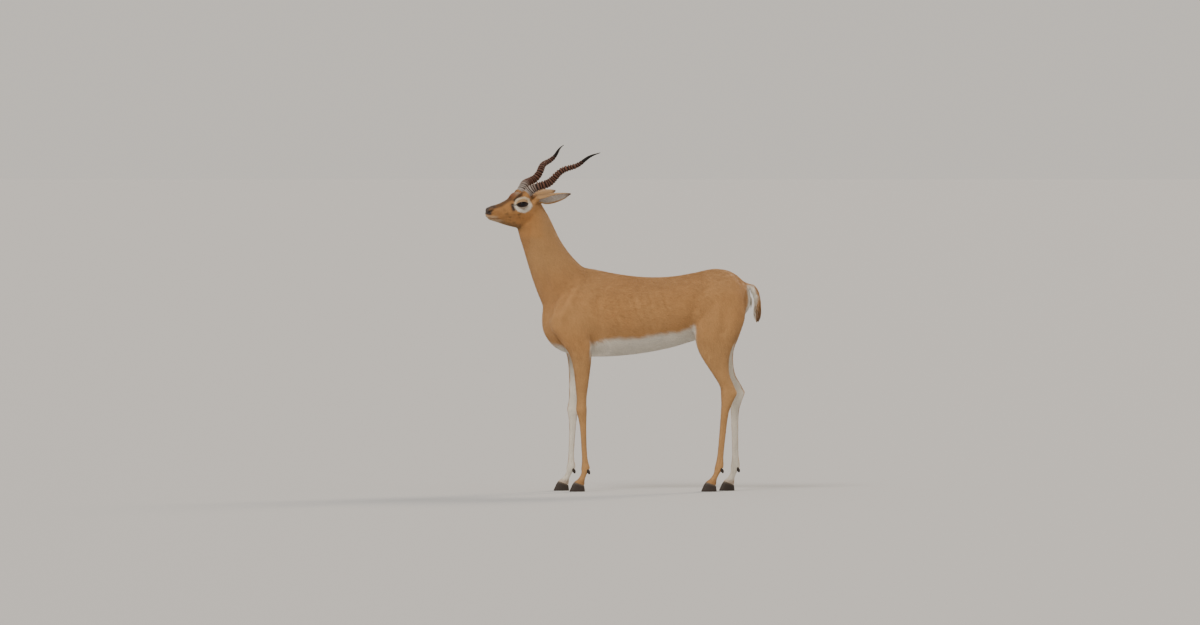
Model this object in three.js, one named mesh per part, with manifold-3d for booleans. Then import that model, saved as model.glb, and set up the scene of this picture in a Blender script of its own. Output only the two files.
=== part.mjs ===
// A blackbuck buck, life size, standing alert with its head turned a little to its left.
// Millimetres, +Z up. The buck faces -X and its left side is on -Y.
// The body is modelled whole from lofts, joined, and parted with thin flat cuts.
import * as THREE from "three";
import { mergeVertices } from "three/addons/utils/BufferGeometryUtils.js";
import Module from "manifold-3d";

const wasm = await Module();
wasm.setup();

// Driving dimensions
const GAP = 0.3; // between two neighbouring nodes
const LEG_CUT_Z = 455; // just under the breastbone
const KNEE_Z = 285;
const HOCK_Z = 335;
const HOOF_HEIGHT = 33;
const HOOF_LENGTH = 54;
const CLAW_WIDTH = 17;
const CLAW_SPREAD = 10; // from the foot's centre line to a claw's centre line
const CLAW_TURN = 4; // degrees that the two claws of a foot turn towards each other
const CORONET_Z = 27; // where hair gives way to horn, on the foot's centre line
const CORONET_NORMAL = new THREE.Vector3(0.34, 0, 0.94).normalize(); // it runs down to the heel
const HEAD_AT = new THREE.Vector3(-430, -40, 1010); // the point midway between the eyes
const HEAD_TURN = THREE.MathUtils.degToRad(30.5);
const HEAD_TILT = THREE.MathUtils.degToRad(6);
const EYE_RADIUS = 18;
const EYE_AT = { forward: -4, out: 29.5, up: -2.5 };
const EYE_LOOK = new THREE.Vector3(0.36, 0.92, 0.12).normalize();
const LID_THICKNESS = 1.8;
const EYE_OPENING = { length: 35, height: 22 };
const HORN_AT = { forward: -25, out: 24, up: 34 };
const HORN_CHORD = 296;
const HORN_RISE = THREE.MathUtils.degToRad(34.4);
const HORN_SPLAY = THREE.MathUtils.degToRad(20.5);
const HORN_TURNS = 2.45;
const HORN_TURN_START = THREE.MathUtils.degToRad(275);
const HORN_TURN_EASE = -0.2; // the spiral is a little tighter towards the tip
const HORN_SWING = 7.6; // how far the spiral carries the horn off its own axis
const HORN_LIFT = { left: 6, right: 1 }; // one horn rises a little more than the other towards its tip
const HORN_RINGS = 24;
const HORN_SINK = new THREE.Vector3(0.5, 0, -0.87); // how its root goes down into the forehead
const EAR_LENGTH = 131;
const EAR_ROOT = { forward: -57, out: 34, up: 19 };
const EAR_LEAN = new THREE.Vector3(-0.97, 0.225, 0.085).normalize();
const EAR_OPENING = new THREE.Vector3(0.1, 0.8, -0.6); // the way the cup faces
const MOUTH_UP = -53;
const MOUTH_CORNER_FORWARD = 70;

// Interpolation
const clamp = THREE.MathUtils.clamp;
const wave = (turns) => Math.sin(2 * Math.PI * turns);

function catmull(a, b, c, d, t) {
  const along = (c - a) / 2;
  const next = (d - b) / 2;
  const cube = 2 * b - 2 * c + along + next;
  const square = -3 * b + 3 * c - 2 * along - next;
  return ((cube * t + square) * t + along) * t + b;
}

// The values at share t of the way through a list of stations, on a smooth curve through them all.
function between(stations, t) {
  const place = clamp(t, 0, 1) * (stations.length - 1);
  const first = Math.min(Math.floor(place), stations.length - 2);
  const pick = (i) => stations[clamp(i, 0, stations.length - 1)];
  const values = {};
  for (const key of Object.keys(stations[0])) {
    const near = [first - 1, first, first + 1, first + 2].map((i) => pick(i)[key]);
    values[key] = catmull(...near, place - first);
  }
  return values;
}

// Names the columns of a station table.
function table(keys, rows) {
  return rows.map((row) => Object.fromEntries(keys.map((key, i) => [key, row[i]])));
}

function spread(count, make) {
  return Array.from({ length: count }, (unused, i) => make(count > 1 ? i / (count - 1) : 0, i));
}

// Closed solids from points
function geometryFrom(points, triangles) {
  const geometry = new THREE.BufferGeometry().setFromPoints(points);
  geometry.setIndex(triangles.flat());
  return geometry;
}

// A closed tube through rings of points, with a flat fan over each end.
function loft(rings) {
  const sides = rings[0].length;
  const points = rings.flat();
  const triangles = [];
  for (let r = 0; r + 1 < rings.length; r++) {
    for (let s = 0; s < sides; s++) {
      const a = r * sides + s;
      const b = r * sides + ((s + 1) % sides);
      triangles.push([a, b, a + sides], [b, b + sides, a + sides]);
    }
  }
  for (const [r, flip] of [[0, true], [rings.length - 1, false]]) {
    const centre = points.length;
    const middle = new THREE.Vector3();
    rings[r].forEach((p) => middle.addScaledVector(p, 1 / sides));
    points.push(middle);
    for (let s = 0; s < sides; s++) {
      const a = r * sides + s;
      const b = r * sides + ((s + 1) % sides);
      triangles.push(flip ? [b, a, centre] : [a, b, centre]);
    }
  }
  return geometryFrom(points, triangles);
}

// A closed thick sheet between two grids of points of one size, split alike on both faces.
function sheet(outside, inside) {
  const rows = outside.length;
  const columns = outside[0].length;
  const points = [...outside.flat(), ...inside.flat()];
  const below = rows * columns;
  const at = (r, c) => r * columns + c;
  const triangles = [];
  const quad = (a, b, c, d) => triangles.push([a, b, c], [a, c, d]);
  for (let r = 0; r + 1 < rows; r++) {
    for (let c = 0; c + 1 < columns; c++) {
      const corners = [at(r, c), at(r, c + 1), at(r + 1, c + 1), at(r + 1, c)];
      const [a, b, d, e] = corners;
      quad(a, b, d, e);
      triangles.push([a, d, b].map((i) => i + below), [a, e, d].map((i) => i + below));
    }
    for (const [c, flip] of [[0, false], [columns - 1, true]]) {
      const [a, b] = flip ? [at(r + 1, c), at(r, c)] : [at(r, c), at(r + 1, c)];
      quad(a, b, b + below, a + below);
    }
  }
  for (let c = 0; c + 1 < columns; c++) {
    for (const [r, flip] of [[0, true], [rows - 1, false]]) {
      const [a, b] = flip ? [at(r, c + 1), at(r, c)] : [at(r, c), at(r, c + 1)];
      quad(a, b, b + below, a + below);
    }
  }
  return geometryFrom(points, triangles);
}

// Solids: joining and cutting
function solidOf(geometry) {
  const bare = geometry.clone();
  bare.deleteAttribute("normal");
  bare.deleteAttribute("uv");
  const merged = mergeVertices(bare, 1e-4);
  const vertProperties = new Float32Array(merged.attributes.position.array);
  const make = (triVerts) => new wasm.Manifold(new wasm.Mesh({ numProp: 3, vertProperties, triVerts }));
  const made = make(new Uint32Array(merged.index.array));
  if (made.volume() > 0) return made;
  return make(new Uint32Array(merged.index.array).reverse());
}

function geometryOf(solid) {
  const mesh = solid.getMesh();
  const positions = new Float32Array(mesh.numVert * 3);
  for (let i = 0; i < mesh.numVert; i++) {
    positions.set(mesh.vertProperties.subarray(i * mesh.numProp, i * mesh.numProp + 3), i * 3);
  }
  const geometry = new THREE.BufferGeometry();
  geometry.setAttribute("position", new THREE.BufferAttribute(positions, 3));
  geometry.setIndex(new THREE.BufferAttribute(new Uint32Array(mesh.triVerts), 1));
  geometry.computeVertexNormals();
  return geometry;
}

const joined = (solids) => solids.reduce((whole, piece) => whole.add(piece));

// The largest closed surface of a solid, without the scraps that a cut leaves.
function largest(solid) {
  return solid.decompose().reduce((a, b) => (a.volume() > b.volume() ? a : b));
}

const FAR = 4000;

// A block that fills the side of a plane that its normal points to.
function halfSpace(point, normal, offset) {
  const block = new THREE.BoxGeometry(FAR, FAR, FAR).translate(0, 0, FAR / 2 + offset);
  const turn = new THREE.Quaternion().setFromUnitVectors(new THREE.Vector3(0, 0, 1), normal);
  return solidOf(block.applyQuaternion(turn).translate(point.x, point.y, point.z));
}

// The two sides of a thin flat cut: first the side that the normal points to.
function part(solid, point, normal) {
  const away = normal.clone().negate();
  return [
    solid.intersect(halfSpace(point, normal, GAP / 2)),
    solid.intersect(halfSpace(point, away, GAP / 2)),
  ];
}

// Sections
const power = (value, exponent) => Math.sign(value) * Math.abs(value) ** exponent;

// One egg-shaped section: ridge narrows its upper half and keel its lower half.
function egg(section, sides, place) {
  return spread(sides + 1, (share) => {
    const angle = 2 * Math.PI * share;
    const up = power(Math.sin(angle), section.round ?? 1);
    const across = power(Math.cos(angle), section.round ?? 1);
    const above = up > 0;
    const narrowing = 1 - (above ? section.ridge ?? 0 : section.keel ?? 0) * up * up;
    const reach = above ? section.top - section.mid : section.mid - section.bottom;
    return place(across * section.width * narrowing, section.mid + up * reach);
  }).slice(0, sides);
}

// Torso
const TORSO = table(
  ["x", "top", "mid", "bottom", "width", "ridge", "keel"],
  [
    [-341, 628, 600, 572, 20, 0, 0],
    [-326, 674, 602, 532, 50, 0.15, 0.1],
    [-285, 736, 612, 492, 80, 0.45, 0.3],
    [-225, 786, 622, 473, 97, 0.65, 0.35],
    [-160, 781, 622, 468, 104, 0.6, 0.3],
    [-75, 764, 622, 471, 113, 0.35, 0.2],
    [20, 753, 625, 482, 118, 0.22, 0.12],
    [110, 755, 634, 500, 116, 0.2, 0.1],
    [190, 768, 655, 524, 108, 0.25, 0.1],
    [258, 781, 674, 542, 106, 0.3, 0.1],
    [315, 774, 682, 566, 101, 0.3, 0.1],
    [354, 748, 680, 598, 81, 0.2, 0.1],
    [379, 712, 668, 630, 46, 0.1, 0],
    [389, 690, 666, 648, 20, 0, 0],
  ],
);

function torso() {
  const rings = spread(26, (t) => {
    const section = between(TORSO, t);
    return egg(section, 22, (y, z) => new THREE.Vector3(section.x, y, z));
  });
  return solidOf(loft(rings));
}

// Neck: a row gives the middle of a section, its half depth and half width, and how far it is turned.
const NECK = table(
  ["x", "y", "z", "depth", "width", "turn"],
  [
    [-205, 0, 640, 118, 84, 0],
    [-258, 0, 706, 104, 66, 0],
    [-300, 0, 772, 86, 54, 3],
    [-332, -1, 836, 73, 47, 7],
    [-355, -3, 893, 67, 43, 12],
    [-372, -6, 940, 64, 41, 19],
    [-384, -12, 982, 54, 37, 27],
    [-390, -17, 1010, 44, 32, 30],
    [-392, -18, 1028, 25, 22, 30],
  ],
);

function neck() {
  const count = 15;
  const middles = spread(count, (t) => between(NECK, t));
  const rings = middles.map((section, i) => {
    const before = middles[Math.max(i - 1, 0)];
    const after = middles[Math.min(i + 1, count - 1)];
    const along = new THREE.Vector3(after.x - before.x, after.y - before.y, after.z - before.z).normalize();
    const turn = THREE.MathUtils.degToRad(section.turn);
    const left = new THREE.Vector3(Math.sin(turn), -Math.cos(turn), 0);
    const crest = new THREE.Vector3().crossVectors(along, left).normalize().negate();
    const shape = { top: section.depth, mid: 0, bottom: -section.depth, width: section.width, ridge: 0.3, keel: 0.12 };
    const middle = new THREE.Vector3(section.x, section.y, section.z);
    return egg(shape, 20, (out, up) => middle.clone().addScaledVector(left, out).addScaledVector(crest, up));
  });
  return solidOf(loft(rings));
}

// Legs: a row gives a height, the leg's middle there, and its half length fore and aft and half width.
const FORELEG = table(
  ["z", "x", "y", "long", "wide"],
  [
    [728, -214, 46, 24, 8],
    [700, -226, 56, 44, 20],
    [640, -245, 66, 62, 32],
    [575, -246, 74, 66, 35],
    [520, -226, 77, 54, 32],
    [480, -212, 76, 42, 27],
    [430, -210, 72, 33, 22.5],
    [370, -213, 68, 24.5, 18.5],
    [322, -216, 65, 19, 16.5],
    [286, -218, 64, 20.5, 18.5],
    [256, -216, 62, 16, 14.5],
    [215, -215, 60, 12.5, 12],
    [150, -215, 58, 11, 10.8],
    [108, -214, 57, 12, 12],
    [82, -213, 57, 16.5, 15.5],
    [60, -220, 57, 13, 13.5],
    [44, -229, 57, 15, 16.5],
    [HOOF_HEIGHT, -236, 57, 19, 18.5],
    [14, -235, 57, 17, 17.5],
  ],
);
const HINDLEG = table(
  ["z", "x", "y", "long", "wide"],
  [
    [762, 302, 38, 24, 9],
    [730, 298, 54, 56, 26],
    [665, 287, 68, 84, 38],
    [600, 281, 74, 90, 40],
    [545, 272, 74, 80, 36],
    [495, 268, 72, 62, 29],
    [448, 280, 69, 44, 23],
    [405, 299, 67, 31, 19],
    [368, 320, 66, 27.5, 17],
    [340, 326, 65, 28.5, 18.5],
    [308, 322, 65, 21, 16.5],
    [272, 317, 63, 15.5, 13.5],
    [205, 314, 61, 13, 12],
    [125, 311, 59, 12.5, 11.8],
    [86, 309, 58, 16.5, 15.5],
    [62, 301, 58, 13.5, 13.5],
    [45, 292, 58, 15, 16.5],
    [HOOF_HEIGHT, 285, 58, 19, 18.5],
    [14, 286, 58, 17, 17.5],
  ],
);

// The four feet stand staggered, as in a buck that has just stopped.
const LEGS = [
  { name: "foreleg_left", side: -1, stations: FORELEG, step: 26, joint: KNEE_Z },
  { name: "foreleg_right", side: 1, stations: FORELEG, step: -30, joint: KNEE_Z },
  { name: "hindleg_left", side: -1, stations: HINDLEG, step: -34, joint: HOCK_Z },
  { name: "hindleg_right", side: 1, stations: HINDLEG, step: 30, joint: HOCK_Z },
];
const STEP_FROM_Z = 600; // the limb swings from here, so that the foot is carried by the whole step

const stepAt = (leg, z) => leg.step * clamp(1 - (z - HOOF_HEIGHT) / (STEP_FROM_Z - HOOF_HEIGHT), 0, 1);

function limb(leg) {
  const rings = spread(31, (t) => {
    const s = between(leg.stations, t);
    const middle = new THREE.Vector3(s.x + stepAt(leg, s.z), leg.side * s.y, s.z);
    return spread(13, (share) => {
      const angle = 2 * Math.PI * share;
      return middle.clone().add(new THREE.Vector3(s.long * Math.cos(angle), s.wide * Math.sin(angle), 0));
    }).slice(0, 12);
  });
  return solidOf(loft(rings));
}

// A false hoof, from its root down to its blunt tip
const DEWCLAW = table(
  ["z", "x", "long", "wide"],
  [
    [8, -5, 3, 3],
    [3, -2.5, 6, 4.6],
    [-4, 0, 6, 4.8],
    [-9, 1.6, 4, 3.6],
    [-12, 2.4, 1.5, 1.6],
  ],
);

// The two false hooves behind a fetlock.
function dewclaws(leg) {
  const fetlock = leg.stations[leg.stations.length - 5];
  const x = fetlock.x + stepAt(leg, fetlock.z) + fetlock.long - 6;
  return [-1, 1].map((side) => {
    const y = leg.side * fetlock.y + side * 8;
    const rings = DEWCLAW.map((row) =>
      spread(9, (share) => {
        const angle = 2 * Math.PI * share;
        const across = row.wide * Math.sin(angle);
        return new THREE.Vector3(x + row.x + row.long * Math.cos(angle), y + across, fetlock.z - 10 + row.z);
      }).slice(0, 8),
    );
    return solidOf(loft(rings));
  });
}

// One claw of a cloven hoof, out to one side of the foot's centre line: flat underneath, pointed in front and
// cut off along the coronet.
function claw(out) {
  const profile = [
    { z: 0, toe: 1, heel: 1, width: 1 },
    { z: 8, toe: 0.91, heel: 1, width: 0.98 },
    { z: 20, toe: 0.76, heel: 0.96, width: 0.93 },
    { z: 40, toe: 0.54, heel: 0.86, width: 0.83 },
  ];
  const toeReach = HOOF_LENGTH * 0.62;
  const heelReach = HOOF_LENGTH - toeReach;
  const rings = profile.map((row) =>
    spread(15, (share) => {
      const angle = 2 * Math.PI * share;
      const ahead = Math.cos(angle);
      const reach = ahead > 0 ? toeReach * row.toe : heelReach * row.heel;
      const pointed = ahead > 0 ? 1 - 0.5 * ahead ** 3 : 1;
      const across = (CLAW_WIDTH / 2) * row.width * power(Math.sin(angle), 0.8) * pointed;
      return new THREE.Vector3(-reach * ahead, across, row.z);
    }).slice(0, 14),
  );
  const whole = solidOf(loft(rings)).rotate([0, 0, -out * CLAW_TURN]).translate([-2, out * CLAW_SPREAD, 0]);
  return part(whole, new THREE.Vector3(0, 0, CORONET_Z), CORONET_NORMAL)[1];
}

// Tail: a short flat tail whose end is a tuft of long locks.
const TAIL = table(
  ["x", "z", "long", "wide"],
  [
    [352, 722, 16, 18],
    [388, 716, 12, 15],
    [408, 690, 9, 13],
    [413, 655, 8, 13],
    [412, 622, 7, 12],
    [410, 596, 4, 8],
  ],
);
const TAIL_CUT = { point: new THREE.Vector3(393, 0, 712), normal: new THREE.Vector3(0.72, 0, -0.694).normalize() };
const TAIL_LOCKS = 9;

function tailCore() {
  const count = 12;
  const middles = spread(count, (t) => between(TAIL, t));
  const rings = middles.map((section, i) => {
    const before = middles[Math.max(i - 1, 0)];
    const after = middles[Math.min(i + 1, count - 1)];
    const along = new THREE.Vector3(after.x - before.x, 0, after.z - before.z).normalize();
    const back = new THREE.Vector3(-along.z, 0, along.x);
    return spread(13, (share) => {
      const angle = 2 * Math.PI * share;
      return new THREE.Vector3(section.x, section.wide * Math.sin(angle), section.z)
        .addScaledVector(back, section.long * Math.cos(angle));
    }).slice(0, 12);
  });
  return solidOf(loft(rings));
}

// A flat tapered lock that leaves its root and bends down along the tail.
function lock(root, fall, across, length, width, thickness) {
  const facing = new THREE.Vector3().crossVectors(fall, across).normalize();
  const rings = spread(4, (t) => {
    const middle = root.clone().addScaledVector(fall, length * t).addScaledVector(facing, 3 * t * (1 - t));
    const taper = 1 - 0.93 * t ** 1.6;
    return spread(6, (share) => {
      const angle = 2 * Math.PI * share;
      return middle.clone()
        .addScaledVector(across, (width / 2) * taper * Math.cos(angle))
        .addScaledVector(facing, (thickness / 2) * taper * Math.sin(angle));
    }).slice(0, 5);
  });
  return solidOf(loft(rings));
}

function tailTuft() {
  return spread(TAIL_LOCKS, (share, i) => {
    const angle = 2 * Math.PI * (i / TAIL_LOCKS);
    const high = i % 2 ? 634 : 612;
    const at = between(TAIL, high > 620 ? 0.74 : 0.86);
    const out = new THREE.Vector3(at.long * 0.55 * Math.cos(angle), at.wide * 0.62 * Math.sin(angle), 0);
    const root = new THREE.Vector3(at.x, 0, high).add(out);
    const fall = new THREE.Vector3(0.1 * Math.cos(angle), 0.16 * Math.sin(angle), -1).normalize();
    const across = new THREE.Vector3(-Math.sin(angle), Math.cos(angle), 0);
    return lock(root, fall, across, 46 + 7 * wave(i * 0.37), 11, 5);
  });
}

// Head. Its own frame: x forwards, y to the left and z up from the point midway between the eyes.
const HEAD = table(
  ["x", "top", "mid", "bottom", "width", "ridge", "keel", "round"],
  [
    [123, -31, -35, -39, 4, 0, 0, 1],
    [121, -24, -34, -46, 11, 0, 0, 1],
    [117, -17.5, -34, -52.5, 16, 0, 0, 0.95],
    [110, -12.5, -34, -58.5, 19.5, 0.05, 0, 0.9],
    [99, -8, -33.5, -63, 22, 0.15, 0.1, 0.9],
    [85, -4.5, -32.5, -67, 22.5, 0.25, 0.2, 0.9],
    [69, 0.5, -29.5, -71.5, 24, 0.3, 0.25, 0.9],
    [50, 8.5, -25, -77, 28, 0.3, 0.3, 0.9],
    [31, 17, -20, -82, 34, 0.25, 0.35, 0.92],
    [13, 25, -12, -86.5, 40, 0.2, 0.4, 0.95],
    [-5, 32, -7, -90, 43, 0.2, 0.4, 0.95],
    [-25, 36, -8, -92, 43, 0.2, 0.38, 0.95],
    [-46, 36, -12, -90, 40, 0.25, 0.3, 1],
    [-66, 30, -14, -80, 36, 0.25, 0.25, 1],
    [-82, 20, -13, -64, 30, 0.2, 0.2, 1],
    [-91, 9, -13, -46, 19, 0, 0, 1],
  ],
);

// Soft swellings and hollows of the head: where each is, how wide, and how far it pushes out.
const HEAD_FORMS = [
  { name: "brow", at: [5, 36, 19], reach: 15, push: 5.5 },
  { name: "hollow before the eye", at: [33, 33, -8], reach: 12, push: -3.5 },
  { name: "cheek muscle", at: [-34, 36, -46], reach: 26, push: 4.5 },
  { name: "cheek bone", at: [20, 40, -27], reach: 14, push: 2.5 },
  { name: "wing of the nostril", at: [112, 16, -21], reach: 9, push: 2.6 },
  { name: "upper lip", at: [98, 19, -45], reach: 12, push: 2 },
  { name: "forehead hair", at: [10, 13, 29], reach: 16, push: 6.5 },
  { name: "tuft over the forehead", at: [22, 6, 22], reach: 12, push: 4.2 },
  { name: "temple hollow", at: [-38, 34, 20], reach: 13, push: -3 },
];

function shaped(point) {
  const outward = new THREE.Vector3(0, point.y, point.z + 25).normalize();
  const moved = point.clone();
  for (const form of HEAD_FORMS) {
    for (const side of [-1, 1]) {
      const away = point.distanceTo(new THREE.Vector3(form.at[0], side * form.at[1], form.at[2]));
      moved.addScaledVector(outward, form.push * Math.exp(-((away / form.reach) ** 2)));
    }
  }
  return moved;
}

function headLoft(inset) {
  const rings = spread(31, (t) => {
    const section = between(HEAD, t);
    section.width -= inset;
    section.top -= inset;
    section.bottom += inset;
    return egg(section, 24, (y, z) => shaped(new THREE.Vector3(section.x - inset, y, z)));
  });
  return solidOf(loft(rings));
}

const beside = (at, side) => new THREE.Vector3(at.forward, side * at.out, at.up);
const mirrored = (direction, side) => new THREE.Vector3(direction.x, side * direction.y, direction.z);

// A ball in front of a plane through it: an eye, or with a gap the socket that holds it.
function eyeCap(side, extra) {
  const middle = beside(EYE_AT, side);
  const look = mirrored(EYE_LOOK, side);
  const ball = new THREE.SphereGeometry(EYE_RADIUS + extra, 16, 10).rotateX(Math.PI / 2);
  ball.applyQuaternion(new THREE.Quaternion().setFromUnitVectors(new THREE.Vector3(0, 0, 1), look));
  const front = halfSpace(middle, look, EYE_RADIUS * 0.1 - extra);
  return solidOf(ball.translate(middle.x, middle.y, middle.z)).intersect(front);
}

// The almond-shaped opening between the lids, as a bar along the eye's line of sight.
function lidOpening(side) {
  const middle = beside(EYE_AT, side);
  const look = mirrored(EYE_LOOK, side);
  const level = new THREE.Vector3(1, 0, -0.1).projectOnPlane(look).normalize();
  const upward = new THREE.Vector3().crossVectors(look, level).normalize();
  if (upward.z < 0) upward.negate();
  const rings = [EYE_RADIUS * 0.25, EYE_RADIUS + 14].map((depth) =>
    spread(19, (share) => {
      const angle = 2 * Math.PI * share;
      const flare = 1 + 0.006 * depth;
      const along = (EYE_OPENING.length / 2) * Math.cos(angle) * flare;
      const rise = (EYE_OPENING.height / 2) * power(Math.sin(angle), 1.25) * flare;
      return middle.clone()
        .addScaledVector(look, depth)
        .addScaledVector(level, along)
        .addScaledVector(upward, rise);
    }).slice(0, 18),
  );
  return solidOf(loft(rings));
}

function ellipsoid(radii, at, lean) {
  const ball = new THREE.SphereGeometry(1, 10, 6).scale(...radii);
  ball.applyMatrix4(new THREE.Matrix4().makeRotationFromEuler(new THREE.Euler(...lean)));
  return solidOf(ball.translate(...at));
}

// Horn: a spiral of growing phase round a straight chord, ringed for most of its length.
const HORN_GIRTH = table(
  ["at", "radius"],
  [[0, 15.5], [0.17, 13.8], [0.34, 12], [0.5, 10.1], [0.66, 7.9], [0.83, 5.3], [1, 1.1]],
);
const RINGED = { from: 0.05, to: 0.74 };

function hornAxes(side) {
  const chord = new THREE.Vector3(
    -Math.cos(HORN_RISE) * Math.cos(HORN_SPLAY),
    Math.sin(HORN_SPLAY),
    Math.sin(HORN_RISE) * Math.cos(HORN_SPLAY),
  );
  const upward = new THREE.Vector3(Math.sin(HORN_RISE), 0, Math.cos(HORN_RISE));
  const across = new THREE.Vector3().crossVectors(chord, upward);
  return [chord, upward, across].map((axis) => mirrored(axis, side));
}

function hornMiddle(side, t) {
  const [chord, upward, across] = hornAxes(side);
  const grown = clamp(t, 0, 1);
  const phase = HORN_TURN_START + 2 * Math.PI * (HORN_TURNS * grown + HORN_TURN_EASE * grown * (1 - grown));
  const swing = HORN_SWING * (1 - Math.exp(-grown / 0.08)) * (1 - grown) ** 0.45;
  const lift = (side > 0 ? HORN_LIFT.left : HORN_LIFT.right) * Math.sin(Math.PI * grown ** 1.6);
  return beside(HORN_AT, side)
    .addScaledVector(HORN_SINK, HORN_CHORD * Math.max(-t, 0))
    .addScaledVector(chord, HORN_CHORD * Math.max(t, 0))
    .addScaledVector(upward, swing * Math.cos(phase) + lift)
    .addScaledVector(across, swing * Math.sin(phase));
}

function hornRing(side, t, swell) {
  const step = 0.004;
  const along = hornMiddle(side, t + step).sub(hornMiddle(side, t - step)).normalize();
  const across = new THREE.Vector3(0, 0, 1).cross(along).normalize();
  const upward = new THREE.Vector3().crossVectors(along, across);
  const radius = between(HORN_GIRTH, t).radius + swell;
  const middle = hornMiddle(side, t);
  return spread(11, (share) => {
    const angle = 2 * Math.PI * share;
    return middle.clone()
      .addScaledVector(across, radius * Math.cos(angle))
      .addScaledVector(upward, radius * Math.sin(angle));
  }).slice(0, 10);
}

// With extra it is the seat in the head that the horn grows out of.
function hornLoft(side, extra) {
  const rings = [hornRing(side, -0.06, extra - 2), hornRing(side, -0.02, extra), hornRing(side, 0.012, extra + 0.8)];
  for (let i = 0; i < HORN_RINGS; i++) {
    const share = i / (HORN_RINGS - 1);
    const pitch = (RINGED.to - RINGED.from) / HORN_RINGS;
    const at = RINGED.from + (RINGED.to - RINGED.from) * share ** 1.05;
    const height = 1.6 - 0.7 * share; // of a ridge over the horn's plain girth
    rings.push(hornRing(side, at - pitch * 0.42, extra - height), hornRing(side, at, extra + height));
  }
  for (const t of [0.76, 0.81, 0.86, 0.91, 0.96, 1]) rings.push(hornRing(side, t, extra));
  return solidOf(loft(rings));
}

// Ear: a leaf rolled into a tube at its root and open towards its outer side.
const EAR = table(
  ["half", "roll", "thick"],
  [
    [13.5, 150, 3.4],
    [17.5, 128, 3],
    [21, 104, 2.6],
    [22, 88, 2.3],
    [19.5, 78, 2],
    [13.5, 70, 1.8],
    [3, 60, 1.6],
  ],
);

function earAxes(side) {
  const along = mirrored(EAR_LEAN, side);
  const open = mirrored(EAR_OPENING, side).projectOnPlane(along).normalize();
  return { along, open, across: new THREE.Vector3().crossVectors(along, open) };
}

function earLeaf(side) {
  const { along, open, across } = earAxes(side);
  const root = beside(EAR_ROOT, side);
  const face = (inset) =>
    spread(10, (t) => {
      const section = between(EAR, t);
      const roll = THREE.MathUtils.degToRad(section.roll);
      const outer = section.half / Math.sin(Math.min(roll, Math.PI / 2));
      const radius = outer - inset * section.thick;
      const middle = root.clone()
        .addScaledVector(along, GAP + (EAR_LENGTH - GAP) * t)
        .addScaledVector(open, outer - EAR[0].half); // keeps the ear's back straight
      return spread(9, (share) => {
        const angle = roll * (2 * share - 1);
        return middle.clone()
          .addScaledVector(open, -radius * Math.cos(angle))
          .addScaledVector(across, radius * Math.sin(angle));
      });
    });
  return solidOf(sheet(face(0), face(1)));
}

// The muscular root that carries the ear, ending in a flat face under the leaf.
function earRoot(side) {
  const { along, open, across } = earAxes(side);
  const root = beside(EAR_ROOT, side);
  const inward = new THREE.Vector3(0.35, -0.4 * side, -0.85);
  const depths = [[30, 8], [17, 12.5], [6, 14.5], [0, 14.5]];
  const rings = depths.map(([depth, radius]) =>
    spread(15, (share) => {
      const angle = 2 * Math.PI * share;
      return root.clone()
        .addScaledVector(inward, depth)
        .addScaledVector(open, radius * Math.cos(angle))
        .addScaledVector(across, radius * Math.sin(angle));
    }).slice(0, 14),
  );
  return solidOf(loft(rings));
}

// The room behind the ear's flat root, which the head stays out of.
function earRoom(side) {
  const { along } = earAxes(side);
  const room = new THREE.CylinderGeometry(24, 20, 50, 16).translate(0, 25, 0);
  room.applyQuaternion(new THREE.Quaternion().setFromUnitVectors(new THREE.Vector3(0, 1, 0), along));
  const root = beside(EAR_ROOT, side);
  return solidOf(room.translate(root.x, root.y, root.z));
}

// The groove of the closed mouth: a thin slab round the muzzle, without the muzzle's own core.
function mouthGroove() {
  const length = 80;
  const slab = new THREE.BoxGeometry(length, 90, 1.8)
    .rotateY(THREE.MathUtils.degToRad(1.5))
    .translate(MOUTH_CORNER_FORWARD + length / 2, 0, MOUTH_UP);
  return solidOf(slab).subtract(headLoft(3.2));
}

function headSolid() {
  const sides = [-1, 1];
  const lids = sides.map((side) => {
    const middle = beside(EYE_AT, side);
    const ball = new THREE.SphereGeometry(EYE_RADIUS + GAP + LID_THICKNESS, 16, 12).rotateX(Math.PI / 2);
    return solidOf(ball.translate(middle.x, middle.y, middle.z));
  });
  return joined([headLoft(0), ...lids, ...sides.map(earRoot)]);
}

// Everything that is cut out of the flesh of the head.
function headOpenings() {
  const onBothSides = [-1, 1].map((side) => [
    lidOpening(side),
    eyeCap(side, GAP),
    ellipsoid([7, 3.6, 3.4], [113, side * 17.5, -24], [0, 0.5, side * -0.45]), // nostril
    ellipsoid([6, 2, 2], [27, side * 35.5, -10], [0, 0.5, side * -0.35]), // gland before the eye
    hornLoft(side, GAP),
    earRoom(side),
  ]);
  return joined([...onBothSides.flat(), mouthGroove()]);
}

// Assembly
const headPose = new THREE.Matrix4()
  .makeTranslation(HEAD_AT)
  .multiply(new THREE.Matrix4().makeRotationZ(Math.PI + HEAD_TURN))
  .multiply(new THREE.Matrix4().makeRotationX(-HEAD_TILT));
const inBody = (solid) => solidOf(geometryOf(solid).applyMatrix4(headPose));

const COLOURS = {
  coat: new THREE.MeshStandardMaterial({ color: 0xa8713c, roughness: 0.85, metalness: 0 }),
  ear: new THREE.MeshStandardMaterial({ color: 0xb98a5c, roughness: 0.85, metalness: 0 }),
  eye: new THREE.MeshStandardMaterial({ color: 0x120b08, roughness: 0.08, metalness: 0 }),
  horn: new THREE.MeshStandardMaterial({ color: 0x3b2a22, roughness: 0.5, metalness: 0 }),
  hoof: new THREE.MeshStandardMaterial({ color: 0x241c18, roughness: 0.45, metalness: 0 }),
};

const animal = new THREE.Group();

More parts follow.
